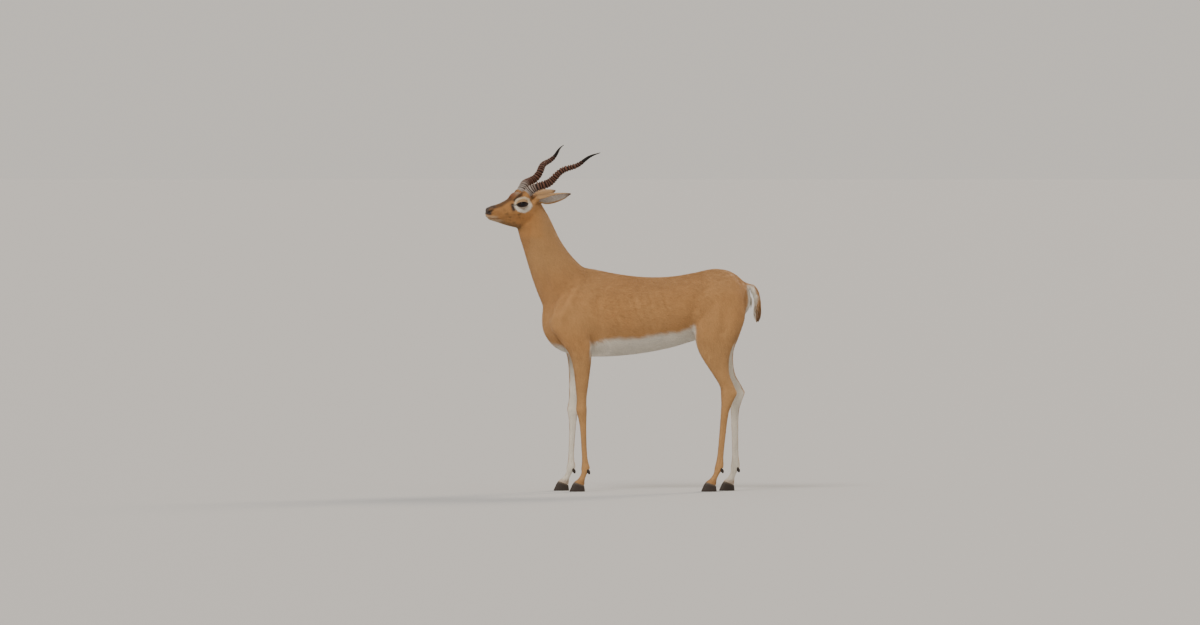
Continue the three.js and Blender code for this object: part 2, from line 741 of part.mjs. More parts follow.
function node(name, solid, material, group = animal) {
  const mesh = new THREE.Mesh(geometryOf(largest(solid)), COLOURS[material]);
  mesh.name = name;
  group.add(mesh);
}

// Nodes of the head are placed by the head's own group.
const headGroup = new THREE.Group();
headGroup.applyMatrix4(headPose);
animal.add(headGroup);

for (const [label, side] of [["left", 1], ["right", -1]]) {
  node(`horn_${label}`, hornLoft(side, 0), "horn", headGroup);
  node(`ear_${label}`, earLeaf(side), "ear", headGroup);
  node(`eye_${label}`, eyeCap(side, 0), "eye", headGroup);
}

const [tail, tailRoot] = part(joined([tailCore(), ...tailTuft()]), TAIL_CUT.point, TAIL_CUT.normal);
node("tail", tail, "coat");

const UP = new THREE.Vector3(0, 0, 1);
const BACK = new THREE.Vector3(1, 0, 0);
const flesh = joined([torso(), neck(), inBody(headSolid()), tailRoot, ...LEGS.map(limb)])
  .subtract(inBody(headOpenings()));
const [trunk, legs] = part(flesh, new THREE.Vector3(0, 0, LEG_CUT_Z), UP);

// Head, neck and the three lengths of the torso
const headCutNormal = new THREE.Vector3(0.95, 0, 0.31).normalize().transformDirection(headPose);
const headCutPoint = new THREE.Vector3(-72, 0, -20).applyMatrix4(headPose);
const neckCutNormal = new THREE.Vector3(-0.83, 0, 0.56).normalize();
const neckCutPoint = new THREE.Vector3(-280, 0, 690);
const [front, body] = part(trunk, neckCutPoint, neckCutNormal);
const [head, neckPiece] = part(front, headCutPoint, headCutNormal);
const [rear, shoulders] = part(body, new THREE.Vector3(-105, 0, 0), BACK);
const [hindquarters, barrel] = part(rear, new THREE.Vector3(165, 0, 0), BACK);
node("head", head, "coat");
node("neck", neckPiece, "coat");
node("shoulders", shoulders, "coat");
node("barrel", barrel, "coat");
node("hindquarters", hindquarters, "coat");

// Legs and hooves
for (const leg of LEGS) {
  const foot = leg.stations[leg.stations.length - 2];
  const x = foot.x + stepAt(leg, foot.z);
  const y = leg.side * foot.y;
  const own = legs.decompose().filter((piece) => {
    const { min, max } = piece.boundingBox();
    return min[0] < x && max[0] > x && min[1] < y && max[1] > y;
  });
  const whole = joined([...own, ...dewclaws(leg)]);
  const [haired] = part(whole, new THREE.Vector3(x, y, CORONET_Z), CORONET_NORMAL);
  const [upper, lower] = part(haired, new THREE.Vector3(0, 0, leg.joint), UP);
  node(`${leg.name}_upper`, upper, "coat");
  node(`${leg.name}_lower`, lower, "coat");
  const footGroup = new THREE.Group();
  footGroup.position.set(x, y, 0);
  animal.add(footGroup);
  for (const [label, out] of [["outer", leg.side], ["inner", -leg.side]]) {
    node(`${leg.name}_hoof_${label}`, claw(out), "hoof", footGroup);
  }
}

// The part's origin is the middle of its footprint, on the floor.
const box = new THREE.Box3().setFromObject(animal, true);
animal.position.set(-(box.min.x + box.max.x) / 2, -(box.min.y + box.max.y) / 2, -box.min.z);
const blackbuck = new THREE.Group();
blackbuck.add(animal);

export default blackbuck;
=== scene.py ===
import math

import bmesh
import bpy
import numpy as np
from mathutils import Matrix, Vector
from mathutils.bvhtree import BVHTree


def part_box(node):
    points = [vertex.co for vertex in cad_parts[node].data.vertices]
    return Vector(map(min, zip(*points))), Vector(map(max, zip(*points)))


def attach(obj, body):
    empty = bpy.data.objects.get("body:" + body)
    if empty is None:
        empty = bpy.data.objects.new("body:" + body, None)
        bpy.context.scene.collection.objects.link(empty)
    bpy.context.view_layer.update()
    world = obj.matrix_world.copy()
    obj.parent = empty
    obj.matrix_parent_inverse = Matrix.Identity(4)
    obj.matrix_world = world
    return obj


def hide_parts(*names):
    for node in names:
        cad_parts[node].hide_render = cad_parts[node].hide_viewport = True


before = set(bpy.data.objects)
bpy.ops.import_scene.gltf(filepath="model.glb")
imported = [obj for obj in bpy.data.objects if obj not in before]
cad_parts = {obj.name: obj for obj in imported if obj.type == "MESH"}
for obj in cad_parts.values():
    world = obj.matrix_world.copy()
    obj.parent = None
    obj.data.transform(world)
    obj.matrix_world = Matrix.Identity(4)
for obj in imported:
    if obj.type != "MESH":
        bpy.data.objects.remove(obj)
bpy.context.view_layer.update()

# Everything is worked out in millimetres in the buck's own frame, which faces -X and has the spine at y 0.
MM = 0.001
rng = np.random.default_rng(11)
BARREL_FRONT = -104.85
barrel_low, barrel_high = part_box("barrel")
SHIFT = np.array([barrel_low[0] / MM - BARREL_FRONT, (barrel_low[1] + barrel_high[1]) / 2 / MM, 0.0])

# Driving sizes, the same as in the solids
HEAD_AT = np.array([-430.0, -40.0, 1010.0])
HEAD_TURN = math.radians(30.5)
HEAD_TILT = math.radians(6)
EYE_RADIUS = 18.0
EYE_AT = np.array([-4.0, 29.5, -2.5])
EYE_LOOK = np.array([0.36, 0.92, 0.12]) / np.linalg.norm([0.36, 0.92, 0.12])
HORN_AT = np.array([-25.0, 24.0, 34.0])
HORN_SINK = np.array([0.5, 0.0, -0.87])
HORN_CHORD = 296.0
HORN_RISE = math.radians(34.4)
HORN_SPLAY = math.radians(20.5)
HORN_TURNS = 2.45
HORN_TURN_START = math.radians(275)
HORN_TURN_EASE = -0.2
HORN_SWING = 7.6
HORN_LIFT = {1: 6.0, -1: 1.0}
HORN_RINGS = 24
RINGED = (0.05, 0.74)
EAR_LENGTH = 131.0
EAR_ROOT = np.array([-57.0, 34.0, 19.0])
EAR_LEAN = np.array([-0.97, 0.225, 0.085])
EAR_OPENING = np.array([0.1, 0.8, -0.6])
HOOF_HEIGHT = 33.0
HOOF_LENGTH = 54.0
CLAW_WIDTH = 17.0
CLAW_SPREAD = 10.0
CLAW_TURN = math.radians(4)
CORONET_Z = 27.0
CORONET_SLOPE = 0.34 / 0.94
DEWCLAW_SPREAD = 8.0
STEP_FROM_Z = 600.0

# Sizes of the skin and the coat alone
OPENING_LENGTH, OPENING_HEIGHT = 37.0, 16.5
MOUTH_UP = -53.0
MOUTH_CORNER = 70.0
BODY_COAT = 3.5
HEAD_COAT = 1.6
LEG_COAT = 1.8
TAIL_COAT = 2.5
VOXEL = 2.6
SKIN_TRIANGLES = 170000
TUFTS = 225000
EAR_TUFTS = 9000
LASHES = 46
PATCH = 0.003
SLIVER_THICKNESS = 0.22
ROOT_DEPTH = 0.35
RIDGE_CLIMB = 0.62
IRIS = 13.0
PUPIL_LENGTH, PUPIL_HEIGHT = 7.4, 4.3

# x, top, mid, bottom, width, ridge, keel
TORSO = [
    [-341, 628, 600, 572, 20, 0, 0],
    [-326, 674, 602, 532, 50, 0.15, 0.1],
    [-285, 736, 612, 492, 80, 0.45, 0.3],
    [-225, 786, 622, 473, 97, 0.65, 0.35],
    [-160, 781, 622, 468, 104, 0.6, 0.3],
    [-75, 764, 622, 471, 113, 0.35, 0.2],
    [20, 753, 625, 482, 118, 0.22, 0.12],
    [110, 755, 634, 500, 116, 0.2, 0.1],
    [190, 768, 655, 524, 108, 0.25, 0.1],
    [258, 781, 674, 542, 106, 0.3, 0.1],
    [315, 774, 682, 566, 101, 0.3, 0.1],
    [354, 748, 680, 598, 81, 0.2, 0.1],
    [379, 712, 668, 630, 46, 0.1, 0],
    [389, 690, 666, 648, 20, 0, 0],
]
# x, y, z, depth, width, turn
NECK = [
    [-205, 0, 640, 118, 84, 0],
    [-258, 0, 706, 104, 66, 0],
    [-300, 0, 772, 86, 54, 3],
    [-332, -1, 836, 73, 47, 7],
    [-355, -3, 893, 67, 43, 12],
    [-372, -6, 940, 64, 41, 19],
    [-384, -12, 982, 54, 37, 27],
    [-390, -17, 1010, 44, 32, 30],
    [-392, -18, 1028, 25, 22, 30],
]
# z, x, y, long, wide
FORELEG = [
    [728, -214, 46, 24, 8],
    [700, -226, 56, 44, 20],
    [640, -245, 66, 62, 32],
    [575, -246, 74, 66, 35],
    [520, -226, 77, 54, 32],
    [480, -212, 76, 42, 27],
    [430, -210, 72, 33, 22.5],
    [370, -213, 68, 24.5, 18.5],
    [322, -216, 65, 19, 16.5],
    [286, -218, 64, 20.5, 18.5],
    [256, -216, 62, 16, 14.5],
    [215, -215, 60, 12.5, 12],
    [150, -215, 58, 11, 10.8],
    [108, -214, 57, 12, 12],
    [82, -213, 57, 16.5, 15.5],
    [60, -220, 57, 13, 13.5],
    [44, -229, 57, 15, 16.5],
    [33, -237, 57, 20.5, 18.5],
    [23, -236, 57, 17.5, 17],
    [12, -235, 57, 12, 12],
]
HINDLEG = [
    [762, 302, 38, 24, 9],
    [730, 298, 54, 56, 26],
    [665, 287, 68, 84, 38],
    [600, 281, 74, 90, 40],
    [545, 272, 74, 80, 36],
    [495, 268, 72, 62, 29],
    [448, 280, 69, 44, 23],
    [405, 299, 67, 31, 19],
    [368, 320, 66, 27.5, 17],
    [340, 326, 65, 28.5, 18.5],
    [308, 322, 65, 21, 16.5],
    [272, 317, 63, 15.5, 13.5],
    [205, 314, 61, 13, 12],
    [125, 311, 59, 12.5, 11.8],
    [86, 309, 58, 16.5, 15.5],
    [62, 301, 58, 13.5, 13.5],
    [45, 292, 58, 15, 16.5],
    [33, 284, 58, 20.5, 18.5],
    [23, 285, 58, 17.5, 17],
    [12, 286, 58, 12, 12],
]
FETLOCK_ROW = -6
FOOT_ROW = -3
# name, side in the buck's frame, stations, step
LEGS = [
    ("foreleg_left", -1, FORELEG, 26.0),
    ("foreleg_right", 1, FORELEG, -30.0),
    ("hindleg_left", -1, HINDLEG, -34.0),
    ("hindleg_right", 1, HINDLEG, 30.0),
]
# z, x, long, wide
DEWCLAW = [
    [8, -5, 3, 3],
    [3, -2.5, 6, 4.6],
    [-4, 0, 6, 4.8],
    [-9, 1.6, 4, 3.6],
    [-12, 2.4, 1.5, 1.6],
]
# shares of a claw's height, of its reach ahead and behind, and of its width
CLAW = [
    [0.0, 0.93, 0.93, 0.90],
    [0.015, 0.985, 0.975, 0.97],
    [0.06, 1.0, 1.0, 1.0],
    [0.24, 0.91, 1.0, 0.98],
    [0.4, 0.83, 0.985, 0.955],
    [0.56, 0.76, 0.96, 0.93],
    [0.72, 0.67, 0.935, 0.90],
    [0.88, 0.575, 0.9, 0.86],
    [0.97, 0.51, 0.86, 0.80],
    [1.0, 0.43, 0.78, 0.70],
]
# x, z, long, wide
TAIL = [
    [352, 722, 16, 18],
    [388, 716, 12, 15],
    [408, 690, 9, 13],
    [413, 655, 8, 13],
    [412, 622, 7, 12],
    [410, 596, 4, 8],
]
# forward, top, mid, bottom, width, ridge, keel, round
HEAD = [
    [123, -31, -35, -39, 4, 0, 0, 1],
    [121, -24, -34, -46, 11, 0, 0, 1],
    [117, -17.5, -34, -52.5, 16, 0, 0, 0.95],
    [110, -12.5, -34, -58.5, 19.5, 0.05, 0, 0.9],
    [99, -8, -33.5, -63, 22, 0.15, 0.1, 0.9],
    [85, -4.5, -32.5, -67, 22.5, 0.25, 0.2, 0.9],
    [69, 0.5, -29.5, -71.5, 24, 0.3, 0.25, 0.9],
    [50, 8.5, -25, -77, 28, 0.3, 0.3, 0.9],
    [31, 17, -20, -82, 34, 0.25, 0.35, 0.92],
    [13, 25, -12, -86.5, 40, 0.2, 0.4, 0.95],
    [-5, 32, -7, -90, 43, 0.2, 0.4, 0.95],
    [-25, 36, -8, -92, 43, 0.2, 0.38, 0.95],
    [-46, 36, -12, -90, 40, 0.25, 0.3, 1],
    [-66, 30, -14, -80, 36, 0.25, 0.25, 1],
    [-82, 20, -13, -64, 30, 0.2, 0.2, 1],
    [-91, 9, -13, -46, 19, 0, 0, 1],
]
# forward, out, up, reach, push
HEAD_FORMS = [
    [5, 36, 19, 15, 5.5],
    [33, 33, -8, 12, -3.5],
    [-34, 36, -46, 26, 4.5],
    [20, 40, -27, 14, 2.5],
    [112, 16, -21, 9, 2.6],
    [98, 19, -45, 12, 2],
    [10, 13, 29, 16, 6.5],
    [22, 6, 22, 12, 4.2],
    [-38, 34, 20, 13, -3],
]
# half, roll, thick
EAR = [
    [13.5, 150, 3.4],
    [17.5, 128, 3],
    [21, 104, 2.6],
    [22, 88, 2.3],
    [19.5, 78, 2],
    [13.5, 70, 1.8],
    [3, 60, 1.6],
]
# radius, at even steps from the root to the tip
HORN_GIRTH = [[15.5], [13.8], [12], [10.1], [7.9], [5.3], [1.1]]

UP = np.array([0.0, 0.0, 1.0])
AHEAD = np.array([-math.cos(HEAD_TURN), -math.sin(HEAD_TURN), 0.0])
ASIDE = np.array([math.sin(HEAD_TURN), -math.cos(HEAD_TURN), 0.0])
HEAD_AXES = np.array([
    AHEAD,
    ASIDE * math.cos(HEAD_TILT) - UP * math.sin(HEAD_TILT),
    UP * math.cos(HEAD_TILT) + ASIDE * math.sin(HEAD_TILT),
])


def to_body(points):
    return HEAD_AT + np.asarray(points) @ HEAD_AXES


def to_head(points):
    return (np.asarray(points) - HEAD_AT) @ HEAD_AXES.T


def size_of(vectors):
    return np.linalg.norm(vectors, axis=-1)


def unit(vectors):
    vectors = np.asarray(vectors, float)
    return vectors / np.maximum(size_of(vectors)[..., None], 1e-9)


def mirrored(vector, side):
    return np.array([vector[0], vector[1] * side, vector[2]])


def rising(value, low, high):
    """A smooth step from 0 at low to 1 at high."""
    t = np.clip((value - low) / (high - low), 0, 1)
    return t * t * (3 - 2 * t)


def falling(value, low, high):
    return 1 - rising(value, low, high)


def hump(*offsets):
    """1 in the middle and smoothly less round it. Each offset from the middle is followed by its reach."""
    return np.exp(-sum((offset / reach) ** 2 for offset, reach in zip(offsets[::2], offsets[1::2])))


def near(points, place, reach):
    return hump(size_of(points - place), reach)


def to_segment(points, a, b):
    a, b = np.array(a, float), np.array(b, float)
    share = np.clip((points - a) @ (b - a) / max((b - a) @ (b - a), 1e-6), 0, 1)
    return size_of(points - (a + share[:, None] * (b - a)))


def near_line(points, a, b, reach):
    return hump(to_segment(points, a, b), reach)


def sample(rows, places):
    """Rows of a table read at shares of its length, on a smooth curve through them all."""
    rows = np.array(rows, float)
    place = np.clip(np.asarray(places, float), 0, 1) * (len(rows) - 1)
    first = np.minimum(place.astype(int), len(rows) - 2)
    t = (place - first)[:, None]
    a, b, c, d = (rows[np.clip(first + k, 0, len(rows) - 1)] for k in (-1, 0, 1, 2))
    along, after = (c - a) / 2, (d - b) / 2
    return (((2 * b - 2 * c + along + after) * t + (-3 * b + 3 * c - 2 * along - after)) * t + along) * t + b


def columns(table, count, end=1.0):
    """The columns of a table, each read at even steps on a smooth curve."""
    return sample(table, np.linspace(0, end, count)).T[..., None]


def points_of(x, y, z):
    return np.stack(np.broadcast_arrays(x, y, z), -1)


def signed_power(value, exponent):
    return np.sign(value) * np.abs(value) ** exponent


def circle(sides):
    return np.linspace(0, 2 * np.pi, sides, endpoint=False)[None, :]


def egg(top, mid, bottom, width, ridge, keel, roundness, sides):
    """Places across and up of round outlines that are narrower at their ridge and keel."""
    up = signed_power(np.sin(circle(sides)), roundness)
    across = signed_power(np.cos(circle(sides)), roundness)
    narrowing = 1 - np.where(up > 0, ridge, keel) * up ** 2
    return across * width * narrowing, mid + up * np.where(up > 0, top - mid, mid - bottom)


def ovals(middles, first, second, long, wide, sides):
    """Rings round a row of middles, long along the first axis and wide along the second."""
    angle = circle(sides)[..., None]
    first, second = (np.reshape(axis, (-1, 1, 3)) for axis in (first, second))
    first, second = long[..., None] * np.cos(angle) * first, wide[..., None] * np.sin(angle) * second
    return middles[:, None] + first + second


def globe(rows, sides, start, end):
    """Rings of a globe of radius 1, between two angles from its pole, and those angles."""
    polar = np.linspace(start, end, rows)[:, None]
    angle = circle(sides)
    return points_of(np.sin(polar) * np.cos(angle), np.sin(polar) * np.sin(angle), np.cos(polar)), polar


def facing_out(points, faces):
    """The triangles of one closed body, turned so that they face out."""
    a, b, c = (points[faces[:, k]] - points.mean(0) for k in range(3))
    volume = (a * np.cross(b, c)).sum()
    return faces if volume > 0 else faces[:, ::-1]


def tube(rings):
    """Points and triangles of a closed tube through rings of points."""
    count, sides, _ = rings.shape
    points = np.vstack([rings.reshape(-1, 3), rings[0].mean(0), rings[-1].mean(0)])
    r, s = np.meshgrid(np.arange(count - 1), np.arange(sides), indexing="ij")
    a = (r * sides + s).ravel()
    b = (r * sides + (s + 1) % sides).ravel()
    walls = np.vstack([np.stack([a, b, a + sides], 1), np.stack([b, b + sides, a + sides], 1)])
    ring = np.arange(sides)
    after = (ring + 1) % sides
    last = (count - 1) * sides
    start = np.stack([after, ring, np.full(sides, count * sides)], 1)
    end = np.stack([last + ring, last + after, np.full(sides, count * sides + 1)], 1)
    return points, facing_out(points, np.vstack([walls, start, end]))


def with_ends(values):
    """Values of a tube's rings as rows, and after them those of its two end points."""
    return np.vstack([values.reshape(-1, values.shape[-1]), values[0, 0], values[-1, 0]])


def gather(parts):
    """Several (points, triangles) as one."""
    points, faces, offset = [], [], 0
    for p, f in parts:
        points.append(p)
        faces.append(f + offset)
        offset += len(p)
    return np.vstack(points), np.vstack(faces)


# Meshes in and out of Blender

def read_numbers(items, name, width, kind=np.float32):
    flat = np.empty(len(items) * width, kind)
    items.foreach_get(name, flat)
    return flat.reshape(-1, width)


def read_points(obj):
    return read_numbers(obj.data.vertices, "co", 3).astype(float) / MM - SHIFT


def read_normals(obj):
    return read_numbers(obj.data.vertex_normals, "vector", 3).astype(float)


def read_edges(obj):
    return read_numbers(obj.data.edges, "vertices", 2, np.int32)


def read_corners(obj):
    return read_numbers(obj.data.loops, "vertex_index", 1, np.int32)[:, 0]


def write_points(obj, points):
    obj.data.vertices.foreach_set("co", ((points + SHIFT) * MM).astype(np.float32).ravel())
    obj.data.update()


def write_colours(obj, colours):
    layer = obj.data.color_attributes.new("Coat", "FLOAT_COLOR", "POINT")
    rgba = np.ones((len(colours), 4), np.float32)
    rgba[:, :3] = colours
    layer.data.foreach_set("color", rgba.ravel())


def write_map(obj, name, places):
    """A map of an object, from the place of each of its points."""
    layer = obj.data.uv_layers.new(name=name)
    layer.data.foreach_set("uv", places[read_corners(obj)].astype(np.float32).ravel())


def make_object(name, points, faces, smooth=True):
    mesh = bpy.data.meshes.new(name)
    faces = np.asarray(faces, np.int32)
    mesh.vertices.add(len(points))
    mesh.vertices.foreach_set("co", ((points + SHIFT) * MM).astype(np.float32).ravel())
    mesh.loops.add(faces.size)
    mesh.loops.foreach_set("vertex_index", faces.ravel())
    mesh.polygons.add(len(faces))
    mesh.polygons.foreach_set("loop_start", np.arange(0, faces.size, 3, dtype=np.int32))
    mesh.update(calc_edges=True)
    mesh.validate()
    mesh.polygons.foreach_set("use_smooth", np.full(len(mesh.polygons), smooth))
    obj = bpy.data.objects.new(name, mesh)
    bpy.context.scene.collection.objects.link(obj)
    return obj


def finish_piece(obj, material, slot, *replaced):
    obj.data.materials.append(material)
    if replaced:
        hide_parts(*replaced)
    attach(obj, "root")


def apply_modifier(obj, kind, **settings):
    modifier = obj.modifiers.new(kind.lower(), kind)
    for name, value in settings.items():
        setattr(modifier, name, value)
    bpy.context.view_layer.objects.active = obj
    bpy.ops.object.modifier_apply(modifier=modifier.name)


def refine(obj, wanted):
    """Splits every edge whose two ends are wanted."""
    mesh = bmesh.new()
    mesh.from_mesh(obj.data)
    mesh.verts.ensure_lookup_table()
    edges = [e for e in mesh.edges if wanted[e.verts[0].index] and wanted[e.verts[1].index]]
    bmesh.ops.subdivide_edges(mesh, edges=edges, cuts=1, use_grid_fill=True)
    mesh.to_mesh(obj.data)
    mesh.free()


def thin_out(obj, most):
    """Triangles only, with fewer of them where the surface is flat."""
    mesh = bmesh.new()
    mesh.from_mesh(obj.data)
    bmesh.ops.triangulate(mesh, faces=mesh.faces)
    mesh.to_mesh(obj.data)
    mesh.free()
    count = len(obj.data.polygons)
    if count > most:
        apply_modifier(obj, "DECIMATE", ratio=most / count)
    obj.data.polygons.foreach_set("use_smooth", np.ones(len(obj.data.polygons), bool))


def unwrap(obj):
    obj.data.uv_layers.new(name="OFBake")
    bpy.ops.object.select_all(action="DESELECT")
    obj.select_set(True)
    bpy.context.view_layer.objects.active = obj
    bpy.ops.object.mode_set(mode="EDIT")
    bpy.ops.mesh.select_all(action="SELECT")
    bpy.ops.uv.smart_project(angle_limit=math.radians(66), island_margin=0.001)
    bpy.ops.object.mode_set(mode="OBJECT")
    obj.select_set(False)


def relax(points, edges, rounds, strength, keep_size=False):
    """Evens out a surface. To keep its size each pull is given back, so that only small bumps go."""
    count = len(points)
    a, b = edges.T
    degree = np.maximum(np.bincount(edges.ravel(), minlength=count), 1)[:, None]
    for _ in range(rounds):
        for pull in ((0.6, -0.62) if keep_size else (0.6,)):
            total = np.stack([
                np.bincount(a, points[b, k], count) + np.bincount(b, points[a, k], count) for k in range(3)
            ], 1)
            points = points + pull * strength[:, None] * (total / degree - points)
    return points


# The skin's rough forms, inside the solids by the coat's depth

def torso_form():
    x, top, mid, bottom, width, ridge, keel = columns(TORSO, 90)
    y, z = egg(top - BODY_COAT, mid, bottom + BODY_COAT, width - BODY_COAT, ridge, keel, 1, 64)
    return tube(points_of(x, y, z))


def neck_form():
    x, y, z, depth, width, turn = columns(NECK, 60)
    middles = np.hstack([x, y, z])
    turn = np.radians(turn)
    left = np.hstack([np.sin(turn), -np.cos(turn), 0 * turn])
    crest = -unit(np.cross(unit(np.gradient(middles, axis=0)), left))
    inset = np.linspace(BODY_COAT, HEAD_COAT, len(x))[:, None]
    depth = depth - inset
    out, up = egg(depth, 0, -depth, width - inset, 0.3, 0.12, 1, 48)
    return tube(middles[:, None] + left[:, None] * out[..., None] + crest[:, None] * up[..., None])


def step_at(step, z):
    return step * np.clip(1 - (z - HOOF_HEIGHT) / (STEP_FROM_Z - HOOF_HEIGHT), 0, 1)


def leg_form(side, stations, step):
    z, x, out, long, wide = columns(stations, 120)
    inset = np.interp(z, [200, 560], [LEG_COAT, BODY_COAT])
    middles = np.hstack([x + step_at(step, z), side * out, z])
    return tube(ovals(middles, [1, 0, 0], [0, 1, 0], long - inset, wide - inset, 36))


def tail_form():
    x, z, long, wide = columns(TAIL, 40, 0.93)
    middles = np.hstack([x, 0 * x, z])
    along = unit(np.gradient(middles, axis=0))
    back = np.stack([-along[:, 2], along[:, 1], along[:, 0]], 1)
    return tube(ovals(middles, back, [0, 1, 0], long - TAIL_COAT, wide - TAIL_COAT, 24))


def head_form():
    forward, top, mid, bottom, width, ridge, keel, roundness = columns(HEAD, 110)
    width = np.maximum(width - HEAD_COAT, 2)
    out, up = egg(top - HEAD_COAT, mid, bottom + HEAD_COAT, width, ridge, keel, roundness, 72)
    rings = points_of(forward - HEAD_COAT * 0.6, out, up)
    outward = unit(points_of(0, out, up + 25))
    moved = rings.copy()
    for *place, reach, push in HEAD_FORMS:
        for side in (-1, 1):
            moved += outward * (push * near(rings, mirrored(place, side), reach))[..., None]
    return tube(to_body(moved))


def ball(centre, radius):
    rings, _ = globe(24, 32, 0.02, np.pi - 0.02)
    return tube(rings * radius + centre)


def ear_axes(side):
    along = unit(mirrored(EAR_LEAN, side))
    open_way = mirrored(EAR_OPENING, side)
    open_way = unit(open_way - along * (open_way @ along))
    return along, open_way, np.cross(along, open_way)


def ear_root_form(side):
    along, open_way, across = ear_axes(side)
    inward = np.array([0.35, -0.4 * side, -0.85])
    depth, radius = np.array([[30, 17, 6, 0, -9, -14], [8, 12, 13.5, 13.5, 13.2, 9]])[..., None]
    middles = mirrored(EAR_ROOT, side) + np.where(depth > 0, inward, -along) * depth
    return tube(to_body(ovals(middles, open_way, across, radius, radius, 28)))


def horn_middle(side, t):
    rise, splay = HORN_RISE, HORN_SPLAY
    chord = np.array([-math.cos(rise) * math.cos(splay), math.sin(splay), math.sin(rise) * math.cos(splay)])
    upward = np.array([math.sin(rise), 0.0, math.cos(rise)])
    across = np.cross(chord, upward)
    chord, upward, across = (mirrored(v, side) for v in (chord, upward, across))
    grown = np.clip(t, 0, 1)
    phase = HORN_TURN_START + 2 * np.pi * (HORN_TURNS * grown + HORN_TURN_EASE * grown * (1 - grown))
    swing = HORN_SWING * (1 - np.exp(-grown / 0.08)) * (1 - grown) ** 0.45
    lift = HORN_LIFT[side] * np.sin(np.pi * grown ** 1.6)
    return (
        mirrored(HORN_AT, side)
        + HORN_SINK * HORN_CHORD * np.maximum(-t, 0)
        + chord * HORN_CHORD * np.maximum(t, 0)
        + upward * (swing * np.cos(phase) + lift)
        + across * swing * np.sin(phase)
    )


def horn_rings(side, t, radius, sides):
    """Rings round the middle line of a horn, at shares t of its length."""
    along = unit(horn_middle(side, t + 0.004) - horn_middle(side, t - 0.004))
    across = unit(np.cross(UP, along))
    return to_body(ovals(horn_middle(side, t), across, np.cross(along, across), radius, radius, sides))


def pedicle_form(side):
    """The skin that rises round the foot of a horn."""
    t = np.array([-0.13, -0.08, -0.04, -0.015, 0.0, 0.008])[:, None]
    radius = np.array([11.0, 15.5, 17.8, 18.0, 17.0, 13.0])[:, None]
    return tube(horn_rings(side, t, radius, 28))


def rough_skin():
    parts = [torso_form(), neck_form(), tail_form(), head_form()]
    parts += [leg_form(side, stations, step) for _, side, stations, step in LEGS]
    for side in (-1, 1):
        parts.append(ear_root_form(side))
        parts.append(pedicle_form(side))
        parts.append(ball(to_body(mirrored(EYE_AT, side)), EYE_RADIUS + HEAD_COAT))
    skin = make_object("skin", *gather(parts))
    apply_modifier(skin, "REMESH", mode="VOXEL", voxel_size=VOXEL * MM, use_smooth_shade=True)
    return skin


# Muscle, bone and tendon under the skin: from, to, reach, push, in the buck's frame, on both sides
BODY_FORMS = [
    ([-205, 62, 752], [-268, 92, 625], 15, 3.5),
    ([-232, 84, 735], [-282, 88, 640], 13, -2.0),
    ([-302, 66, 592], [-296, 72, 575], 24, 6.0),
    ([-240, 96, 640], [-185, 100, 560], 30, 6.0),
    ([-160, 92, 715], [-146, 92, 540], 18, -5.0),
    ([-176, 92, 520], [-172, 90, 505], 13, 5.0),
    ([-228, 100, 480], [-224, 92, 400], 10, 2.0),
    ([-204, 98, 470], [-200, 90, 390], 6, -1.5),
    ([215, 92, 728], [205, 104, 690], 34, -7.0),
    ([238, 78, 760], [244, 84, 750], 17, 5.0),
    ([366, 40, 722], [372, 42, 712], 17, 4.0),
    ([196, 100, 620], [226, 96, 545], 16, 4.0),
    ([184, 100, 650], [176, 96, 590], 20, -4.0),
    ([300, 108, 720], [288, 112, 560], 12, -2.5),
    ([338, 96, 690], [322, 104, 560], 24, 4.0),
    ([268, 112, 650], [262, 110, 560], 26, 3.5),
    ([303, 88, 445], [322, 84, 385], 7, -3.0),
    ([303, 50, 445], [322, 52, 385], 7, -2.5),
    ([-374, 27, 890], [-322, 44, 715], 12, -2.5),
    ([-352, 42, 890], [-300, 58, 730], 16, 2.0),
    ([-318, 40, 900], [-262, 52, 770], 14, -1.5),
    ([-338, 20, 640], [-330, 26, 560], 14, 3.0),
]
SPINE_FORMS = [
    ([-170, 0, 785], [300, 0, 782], 11, 1.8),
    ([-338, 0, 640], [-318, 0, 540], 10, -3.0),
]
# Tendon, front cleft and back cleft, each end as height, and places behind and out from the leg's middle
LEG_FORMS = [
    ([100, 3, 11], [250, 4, 13], 4.5, -1.6),
    ([40, -14, 0], [70, -12, 0], 4.5, -1.3),
    ([40, 12, 0], [70, 13, 0], 5, -1.3),
]
KNEE_FORM = ([290, -10, 9], [290, -8, 10], 8, 1.2)
HOCK_FORM = ([345, 20, 0], [345, 24, 0], 10, 2.0)
# Finer forms of the head, in its own frame
FACE_FORMS = [
    ([62, 24, -36], [18, 38, -29], 8, 1.6),
    ([50, 20.5, -50], [0, 29, -56], 9, -1.3),
    ([-40, 33, -76], [46, 14, -68], 8, 1.6),
    ([-34, 38, -20], [-10, 42, -22], 8, -1.4),
    ([70, 17, -6], [30, 24, 10], 7, 1.0),
    ([100, 21, -34], [78, 22, -42], 9, -1.0),
    ([33, 25.5, -6], [30.5, 30, -17], 3.0, -2.6),
    ([39, 24, -8], [36, 28, -18], 3.5, 0.8),
    ([112, 15, -58], [90, 21, -63], 7, -2.2),
    ([117, 10.0, -33], [113, 14.5, -29.5], 2.8, -5.5),
    ([113, 14.5, -29.5], [106, 18.5, -25.5], 2.2, -4.0),
    ([121, 8, -25], [106, 16.5, -18.5], 4.0, 1.6),
    ([116, 14, -37.5], [106, 19.5, -32], 3.0, 1.6),
]


def swell(points, forms, sides=(-1, 1)):
    amount = np.zeros(len(points))
    for a, b, reach, push in forms:
        for side in sides:
            amount += push * near_line(points, mirrored(a, side), mirrored(b, side), reach)
    return amount


